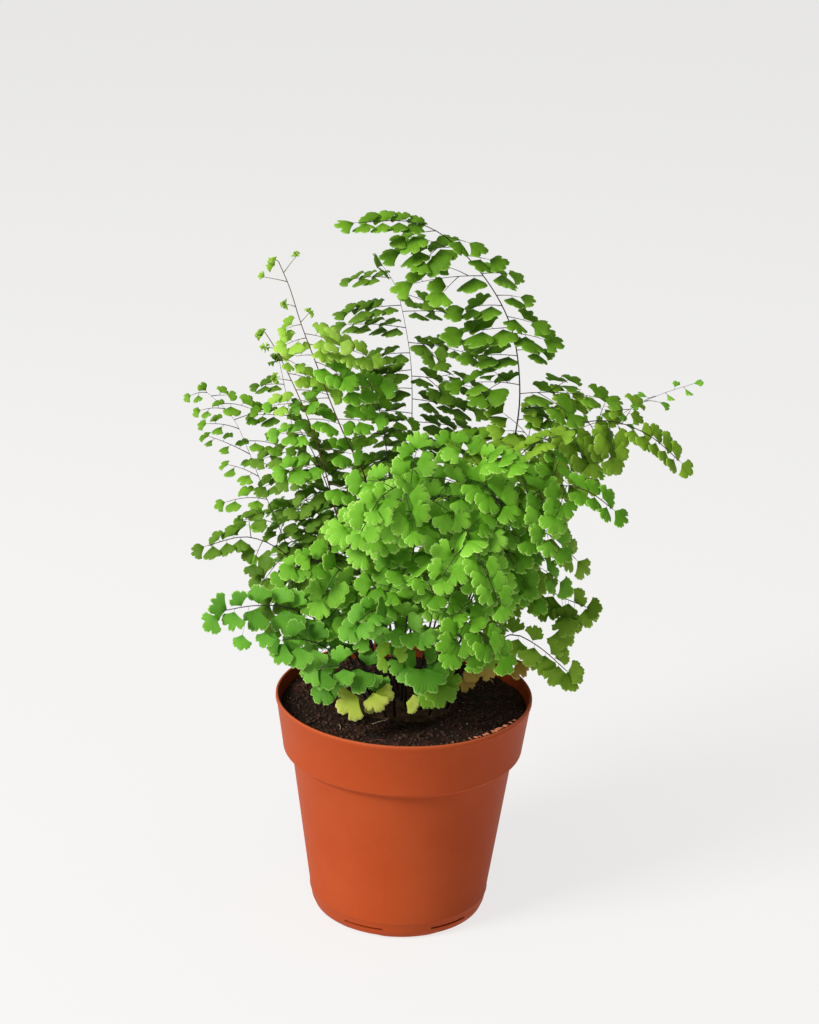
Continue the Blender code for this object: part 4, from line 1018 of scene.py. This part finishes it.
def growPlaced(room, stem, spec, rng, leaves):    # leaflets set one by one
    normal = (stem.facing + up * 0.35).normalized()
    across = up.cross(normal).normalized()
    above = normal.cross(across)
    ends = stem.points[-1] - stem.points[0]
    shingle = 0.24 if ends.dot(across) > 0.0 else -0.24
    for share, turn, stalk, length, *half in spec["placed"]:
        angle = math.radians(turn + rng.uniform(-4.0, 4.0))
        heading = across * math.cos(angle) + above * math.sin(angle)
        face = normal + across * (shingle + rng.uniform(-0.1, 0.1)) + above * rng.uniform(-0.05, 0.25)
        face = (face - heading * face.dot(heading)).normalized()
        root = stem.at(share)
        for shift in growth["shifts"]:
            start = root + heading * stalk + normal * shift
            leaf = dict(start=start, heading=heading, normal=face, side=heading.cross(face).normalized(),
                        length=length, half=half[0] if half else rng.uniform(62.0, 70.0),
                        droop=rng.uniform(0.05, 0.16), cup=rng.uniform(0.02, 0.10), stalk=min(stalk, 1.0),
                        root=root, lopsided=rng.uniform(-0.06, 0.06), tone=rng.random())
            shell = leafShell(leaf)
            wire = Stem([root, root.lerp(start, 0.5), start], 0.1, 0.1, normal)
            shells = [shell] + (tubeShells(wire, 1.2) if stalk > 2.0 else [])
            if room.take(shells, stem):
                leaves.append(leaf)
                break
        else:
            leaves.append(None)


def mainStem(spec):
    x, y = spec["route"][0]
    foot = max(crownHeight(x + dx, y + dy) for dx in (-1.2, 1.2) for dy in (-1.2, 1.2))
    corners = [Vector((x, y, foot + 0.1))] + [Vector(point) for point in spec["route"][1:]]
    points = smoothRoute(corners, growth["routeStep"])
    lean = points[-1] - points[0]
    if spec["face"] is None:
        facing = Vector((lean.x, lean.y, 0.0)).normalized()
    else:
        angle = math.radians(spec["face"])
        facing = Vector((math.cos(angle), math.sin(angle), 0.0))
    tip = growth["stemTip"] * spec["thin"]
    stem = Stem(points, growth["stemBase"], tip, (up * 0.35 + facing).normalized())
    stem.facing = facing
    stem.spec = spec
    stem.tail = curledTip(points, spec["curl"]) if "curl" in spec else []
    return stem


def addBud(pile, place, ahead, size, rng):    # a knot of leaflets still folded
    for _ in range(7):
        spin = Vector((rng.uniform(-1, 1), rng.uniform(-1, 1), rng.uniform(-0.6, 1)))
        heading = (ahead * 0.7 + spin).normalized()
        normal = heading.orthogonal().normalized()
        normal = Matrix.Rotation(rng.uniform(0.0, 6.28), 3, heading) @ normal
        leaf = dict(start=place + heading * 0.2, heading=heading, normal=normal,
                    side=heading.cross(normal).normalized(), length=size * rng.uniform(0.7, 1.1), half=52.0,
                    droop=0.25, cup=0.45, stalk=0.2, root=place, lopsided=0.0, tone=rng.random())
        addLeaf(pile, leaf, 1, False, rng)


def addTwig(pile, twig):
    tube(pile, twig.points, [twig.width(index / 6.0) for index in range(7)], 5, (0.75, 1.0))


def buildFrond(name, spec, stem, twigs, leaves, materials):
    rng = random.Random(len(leaves) * 7 + len(name))
    pile = Pile()
    count = len(stem.points)
    radii = [stem.width(index / (count - 1.0)) for index in range(count)]
    radii += [stem.tip * 0.9] * len(stem.tail)
    tube(pile, stem.points + stem.tail, radii, 8)
    for twig in twigs:
        addTwig(pile, twig)
    placed = [leaf for leaf in leaves if leaf]
    for leaf in placed:
        end = leaf["start"] + leaf["heading"] * (leaf["length"] * 0.05)
        middle = leaf["root"].lerp(end, 0.5) + leaf["normal"] * 0.12
        width = growth["stalkWidth"]
        tube(pile, [leaf["root"], middle, end], [width, width, width * 0.8], 4, (0.8, 1.0))
        if "sided" in spec:       # painted light and shade: leaflets on the lamp side of the frond get a paler tone, those on the far side a darker one
            side = (stem.points[-1].x - leaf["root"].x) / 22.0
            leaf["tone"] += spec["sided"] * max(-1.0, min(1.0, side))
        addLeaf(pile, leaf, 2 if leaf["root"].z < spec.get("freshBelow", 0.0) else 1, spec["fine"], rng)
    if "curl" in spec:
        along, top, side = stem.frame(0.97)
        addBud(pile, stem.tail[-1], along, 3.6, rng)
        for share, sign, length in spec["buds"]:
            along, top, side = stem.frame(share)
            heading = (side * sign + along * 0.5).normalized()
            twig = twigFrom(stem.at(share), heading, length, top, 0.05)
            addTwig(pile, twig)
            addBud(pile, twig.points[-1], heading, 2.6, rng)
    used = [materials[spec["stem"]], materials[spec["leafy"]]]
    piece = pile.object(name, used + [materials["fresh"]] * ("freshBelow" in spec))
    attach(piece, "root")
    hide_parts(spec["node"])
    return len(placed), len(piece.data.polygons)


def growPlant(materials):
    room = Room()
    specs = {name: frondSpec(name) for name in fronds}
    stems = {name: mainStem(spec) for name, spec in specs.items()}
    for stem in stems.values():
        for shell in tubeShells(stem, 0.0):
            room.add(shell)
    total, faces = 0, 0
    for seed, (name, spec) in enumerate(specs.items(), 11):
        twigs, leaves = growFrond(room, stems[name], spec, seed)
        placed, polygons = buildFrond(name + "Frond", spec, stems[name], twigs, leaves, materials)
        total += placed
        faces += polygons
    print("plant grown:", total, "leaflets,", faces, "faces")


def arcPoints(centre, radius, start, end, steps):
    angles = [math.radians(start + (end - start) * index / steps) for index in range(steps + 1)]
    return [(centre[0] + radius * math.cos(a), centre[1] + radius * math.sin(a)) for a in angles]


def innerRadius(z):
    look = potLook
    stations = {4.0: look["foot"] + 1.2, look["bodyLow"]: look["bodyFoot"] - look["wall"],
                look["bodyHigh"]: look["bodyTop"] - look["wall"],
                look["collarLow"] + 1.5: look["collarFoot"] - look["wall"],
                look["height"]: look["rim"] - look["wall"]}
    return float(np.interp(z, list(stations), list(stations.values())))


def potProfile():                 # radius and height, from the pad under the floor round to the inside
    look = potLook
    rim, top, wall = look["rim"], look["height"], look["wall"]
    profile = [(0.0, 0.0), (9.5, 0.0), (10.0, 0.3), (11.0, 2.6), (35.0, 2.6), (35.9, 2.2)]
    profile += [(36.1, 0.3), (36.4, 0.0), (38.6, 0.0), (39.1, 0.3), (40.6, 1.5), (41.7, 4.2)]
    profile += [(41.8, 4.65), (41.8, 4.7), (41.95, 5.6), (41.96, 5.65), (42.3, 7.2)]
    profile += [(42.55, 8.4), (42.75, 8.7), (42.75, 9.2), (42.6, 9.6)]
    profile += [(look["bodyTop"] - 0.05, look["bodyHigh"] - 0.8), (look["bodyTop"] + 0.2, look["bodyHigh"])]
    profile += [(look["collarFoot"] - 1.2, look["collarLow"] - 1.7)]
    profile += arcPoints((look["collarFoot"] - 1.0, look["collarLow"] - 0.1), 1.1, -60, 5, 5)
    profile += [(rim - 0.55, top - 3.0), (rim - 0.25, top - 2.4), (rim, top - 1.9)]
    profile += arcPoints((rim - 0.65, top - 0.65), 0.65, 0, 180, 8)
    profile += [(rim - wall - 0.1, top - 2.0)]
    for z in (96.0, look["collarLow"] + 1.5, look["bodyHigh"], 40.0, look["bodyLow"], 4.0):
        profile.append((innerRadius(z), z))
    return profile + [(0.0, 4.0)]


def potPoint(angle, radius, z):   # a turned point, moved where a notch or its slot is cut
    arch = footArch(angle, radius)
    low, high = potLook["slot"]
    if low < z < high and arch > 0.0:
        radius -= potLook["slotDepth"]
    elif z < 0.35 and radius > 20.0:
        z = max(z, arch)
    return radius * math.cos(angle), radius * math.sin(angle), z


def makePot(material):
    data = bmesh.new()
    rings = []
    for radius, z in potProfile():
        if radius > 0.0:
            rings.append(addRing(data, potLook["segments"], lambda angle: potPoint(angle, radius, z)))
        else:
            rings.append([data.verts.new((0.0, 0.0, z * mm))])
    pot = skinRings("terracottaPot", data, rings, material)
    drill(pot)
    markFolds(pot)
    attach(pot, "root")
    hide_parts("nursery_pot")
    print("pot turned")


def footArch(angle, radius):      # the foot lifts into a low arch at each water channel
    turn = 2.0 * math.pi / potLook["notches"]
    away = (angle - math.radians(potLook["notchTurn"]) + turn / 2.0) % turn - turn / 2.0
    across = abs(away) * radius / (potLook["notchWidth"] / 2.0)
    return potLook["notchHeight"] * max(0.0, 1.0 - across ** 3.0) ** 0.5


def addRing(data, count, place):  # place turns an angle into a point in millimetres
    ring = []
    for index in range(count):
        x, y, z = place(2.0 * math.pi * index / count)
        ring.append(data.verts.new((x * mm, y * mm, z * mm)))
    return ring


def joinRings(data, lower, upper):
    count = max(len(lower), len(upper))
    for index in range(count):
        after = (index + 1) % count
        if len(lower) == 1:
            data.faces.new((lower[0], upper[after], upper[index]))
        elif len(upper) == 1:
            data.faces.new((lower[index], lower[after], upper[0]))
        else:
            data.faces.new((lower[index], lower[after], upper[after], upper[index]))


def skinRings(name, data, rings, material):       # a closed surface through the rings
    for lower, upper in zip(rings, rings[1:]):
        joinRings(data, lower, upper)
    bmesh.ops.recalc_face_normals(data, faces=data.faces)
    return meshObject(name, data, [material])


def meshObject(name, data, materials):
    mesh = bpy.data.meshes.new(name)
    data.to_mesh(mesh)
    data.free()
    for material in materials:
        mesh.materials.append(material)
    mesh.polygons.foreach_set("use_smooth", [True] * len(mesh.polygons))
    return addObject(name, mesh)


def drill(pot):                   # drain holes through the floor
    look = potLook
    radius = look["drainRadius"] * mm
    data = bmesh.new()
    for index in range(look["drains"]):
        angle = 2.0 * math.pi * (index + 0.5) / look["drains"]
        x, y = look["drainRing"] * math.cos(angle), look["drainRing"] * math.sin(angle)
        place = Matrix.Translation((x * mm, y * mm, 3.0 * mm))
        bmesh.ops.create_cone(data, cap_ends=True, segments=24, radius1=radius, radius2=radius,
                              depth=8.0 * mm, matrix=place)
    bit = meshObject("drainBit", data, [])
    cut = pot.modifiers.new("drains", "BOOLEAN")
    cut.operation = "DIFFERENCE"
    cut.solver = "EXACT"
    cut.object = bit
    graph = bpy.context.evaluated_depsgraph_get()
    done = bpy.data.meshes.new_from_object(pot.evaluated_get(graph))
    pot.modifiers.clear()
    pot.data = done
    bpy.data.objects.remove(bit, do_unlink=True)


def markFolds(piece):             # crisp folds stay crisp, the rest is smooth
    mesh = piece.data
    data = bmesh.new()
    data.from_mesh(mesh)
    for edge in data.edges:
        if len(edge.link_faces) == 2 and edge.calc_face_angle(0.0) > math.radians(38.0):
            edge.smooth = False
    for face in data.faces:
        face.smooth = True
    data.to_mesh(mesh)
    data.free()


def soilTop(x, y):
    here = Vector((x * 0.045, y * 0.045, 1.7))
    coarse = noise.noise(here) * 2.6 + noise.noise(here * 3.1) * 1.4
    fine = noise.noise(here * 9.0) * 0.8 + noise.noise(here * 24.0) * 0.35
    return soilLook["top"] + 0.4 + coarse * 0.55 + fine * 0.8


def soilPoint(angle, radius):
    x, y = radius * math.cos(angle), radius * math.sin(angle)
    return x, y, soilTop(x, y)


def makeSoil(material):
    look = soilLook
    data = bmesh.new()
    rings = [[data.verts.new((0.0, 0.0, soilTop(0.0, 0.0) * mm))]]
    for index in range(1, look["rings"] + 1):
        radius = look["radius"] * index / look["rings"]
        rings.append(addRing(data, look["turns"], lambda angle: soilPoint(angle, radius)))
    for z in look["sides"]:
        radius = innerRadius(z) - look["gap"]
        rings.append(addRing(data, look["turns"],
                             lambda angle: (radius * math.cos(angle), radius * math.sin(angle), z)))
    rings.append([data.verts.new((0.0, 0.0, look["sides"][-1] * mm))])
    soil = skinRings("peatSoil", data, rings, material)
    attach(soil, "root")
    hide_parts("potting_soil")


def lump(rng, radius, squash):    # a small irregular crumb
    data = bmesh.new()
    bmesh.ops.create_icosphere(data, subdivisions=1, radius=radius)
    offset = Vector((rng.uniform(0, 50), rng.uniform(0, 50), rng.uniform(0, 50)))
    spin = Matrix.Rotation(rng.uniform(0, 6.28), 3, "Z") @ Matrix.Rotation(rng.uniform(-0.6, 0.6), 3, "X")
    points, faces = [], []
    for vertex in data.verts:
        bulge = 1.0 + 0.45 * noise.noise(vertex.co * (0.9 / radius) + offset)
        place = vertex.co * bulge
        points.append(spin @ Vector((place.x, place.y * 0.8, place.z * squash)))
    for face in data.faces:
        faces.append(tuple(vertex.index for vertex in face.verts))
    data.free()
    return points, faces


litter = {                        # what lies on the soil, sizes in millimetres
    "soilCrumbs": {"finish": "peatCrumb", "count": 2600, "sizes": (0.28, 1.05), "reach": 56.5,
                   "seed": 5},
    "soilPerlite": {"finish": "perlite", "count": 9, "sizes": (0.35, 0.8), "reach": 56.5, "seed": 8},
    "soilFibres": {"finish": "barkFibre", "count": 40, "lengths": (3.0, 9.0), "width": 0.15, "reach": 56.0,
                    "seed": 6},
    "soilStraws": {"finish": "strawTwig", "count": 5, "lengths": (6.0, 11.0), "width": 0.22, "reach": 56.0,
                   "seed": 14},
    "squash": 0.7,
}


def scatterCrumbs(name):
    look = litter[name]
    rng = random.Random(look["seed"])
    pile = Pile()
    least, most = look["sizes"]
    for _ in range(look["count"]):
        radius = math.sqrt(rng.uniform(0.0, look["reach"] ** 2))
        angle = rng.uniform(0.0, 2.0 * math.pi)
        size = least + (most - least) * rng.random() ** 2.2
        radius = min(radius, soilLook["clear"] - size)
        x, y = radius * math.cos(angle), radius * math.sin(angle)
        points, faces = lump(rng, size, litter["squash"])
        centre = Vector((x, y, soilTop(x, y) + size * litter["squash"] * 0.35))
        pile.add([point + centre for point in points], faces, 0, reach=0.5, tone=rng.random())
    piece = pile.object(name, [grainMaterial(look["finish"])])
    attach(piece, "root")


def scatterFibres(name):
    look = litter[name]
    rng = random.Random(look["seed"])
    pile = Pile()
    width = look["width"]
    for _ in range(look["count"]):
        radius = math.sqrt(rng.uniform(0.0, look["reach"] ** 2))
        angle = rng.uniform(0.0, 6.28)
        x, y = radius * math.cos(angle), radius * math.sin(angle)
        turn = rng.uniform(0.0, 2.0 * math.pi)
        length = rng.uniform(*look["lengths"])
        curve = rng.uniform(-0.35, 0.35)
        points = []
        for index in range(6):
            points.append(Vector((x, y, soilTop(x, y) + width + 0.6 * math.sin(index * 0.63))))
            turn += curve * rng.uniform(0.3, 1.6)
            x += length / 5.0 * math.cos(turn)
            y += length / 5.0 * math.sin(turn)
        if max(math.hypot(point.x, point.y) for point in points) < soilLook["radius"]:
            half = width * rng.uniform(0.6, 1.3)
            tube(pile, points, [half * 0.5, half, half, half, half * 0.8, half * 0.3], 5)
    piece = pile.object(name, [grainMaterial(look["finish"])])
    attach(piece, "root")


burrs = {                         # rough flakes of plastic left on the front right of the lip
    "count": 34, "turn": -0.78, "spread": 0.16, "skew": 0.016,    # angles in radians
    "out": (58.5, 59.1), "drop": (1.0, 2.6), "radii": (0.2, 0.3, 0.14), "seed": 21,
}


def makeBurrs(material):
    rng = random.Random(burrs["seed"])
    pile = Pile()
    for _ in range(burrs["count"]):
        angle = rng.gauss(burrs["turn"], burrs["spread"])
        out, drop = rng.uniform(*burrs["out"]), rng.uniform(*burrs["drop"])
        skew = angle + rng.uniform(-burrs["skew"], burrs["skew"])
        start = Vector((out * math.cos(angle), out * math.sin(angle), 108.1))
        end = Vector(((out - drop) * math.cos(skew), (out - drop) * math.sin(skew), 108.3 - drop * 0.2))
        tube(pile, [start, start.lerp(end, 0.5) + up * 0.25, end], burrs["radii"], 5)
    piece = pile.object("lipFlakes", [material])
    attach(piece, "root")


def crownPoint(angle, share):     # a lumpy dome whose edge sinks into the soil
    x = crownLook["across"] * share * math.cos(angle)
    y = crownLook["deep"] * share * math.sin(angle)
    rough = noise.noise(Vector((x * 0.35, y * 0.35, 3.0))) * 1.1
    rough += noise.noise(Vector((x * 1.2, y * 1.2, 9.0))) * 0.7
    return x, y, crownHeight(x, y) - 0.9 + rough * (1.0 - share ** 4) - 2.0 * share ** 6


def makeCrown(material):
    look = crownLook
    data = bmesh.new()
    rings = [addRing(data, 1, lambda angle: crownPoint(angle, 0.0))]
    for share in np.linspace(0.0, 1.0, look["rings"])[1:]:
        rings.append(addRing(data, look["turns"], lambda angle: crownPoint(angle, share)))
    rings.append([data.verts.new((0.0, 0.0, look["foot"] * mm))])
    crown = skinRings("brownCrown", data, rings, material)
    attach(crown, "root")
    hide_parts("crown_rhizome")


floorLook = {"half": 30.0, "colour": (0.16, 0.16, 0.16), "glow": (1.0, 0.992, 0.984), "glowStrength": 0.76}


def makeFloor():
    look = floorLook
    shader = Shader("paleFloor")
    shader.set(Base_Color=look["colour"], Roughness=1.0, Specular_IOR_Level=0.0)
    shader.set(Emission_Color=look["glow"], Emission_Strength=look["glowStrength"])
    corners = [(x * look["half"], y * look["half"], 0.0) for x, y in ((-1, -1), (1, -1), (1, 1), (-1, 1))]
    mesh = bpy.data.meshes.new("paleFloor")
    mesh.from_pydata(corners, [], [(0, 1, 2, 3)])
    mesh.materials.append(shader.material)
    floor = addObject("paleFloor", mesh)


makeCamera()
makeLamps()
makeFloor()
print("camera, lamps and floor set")
materials = {name: leafMaterial(name) for name in leafLooks}
materials.update({name: stemMaterial(name) for name in stemLooks})
makePot(potMaterial())
makeSoil(soilMaterial())
scatterCrumbs("soilCrumbs")
scatterCrumbs("soilPerlite")
scatterFibres("soilFibres")
scatterFibres("soilStraws")
makeBurrs(grainMaterial("rimShaving"))
makeCrown(grainMaterial("rhizome"))
print("soil laid")
growPlant(materials)
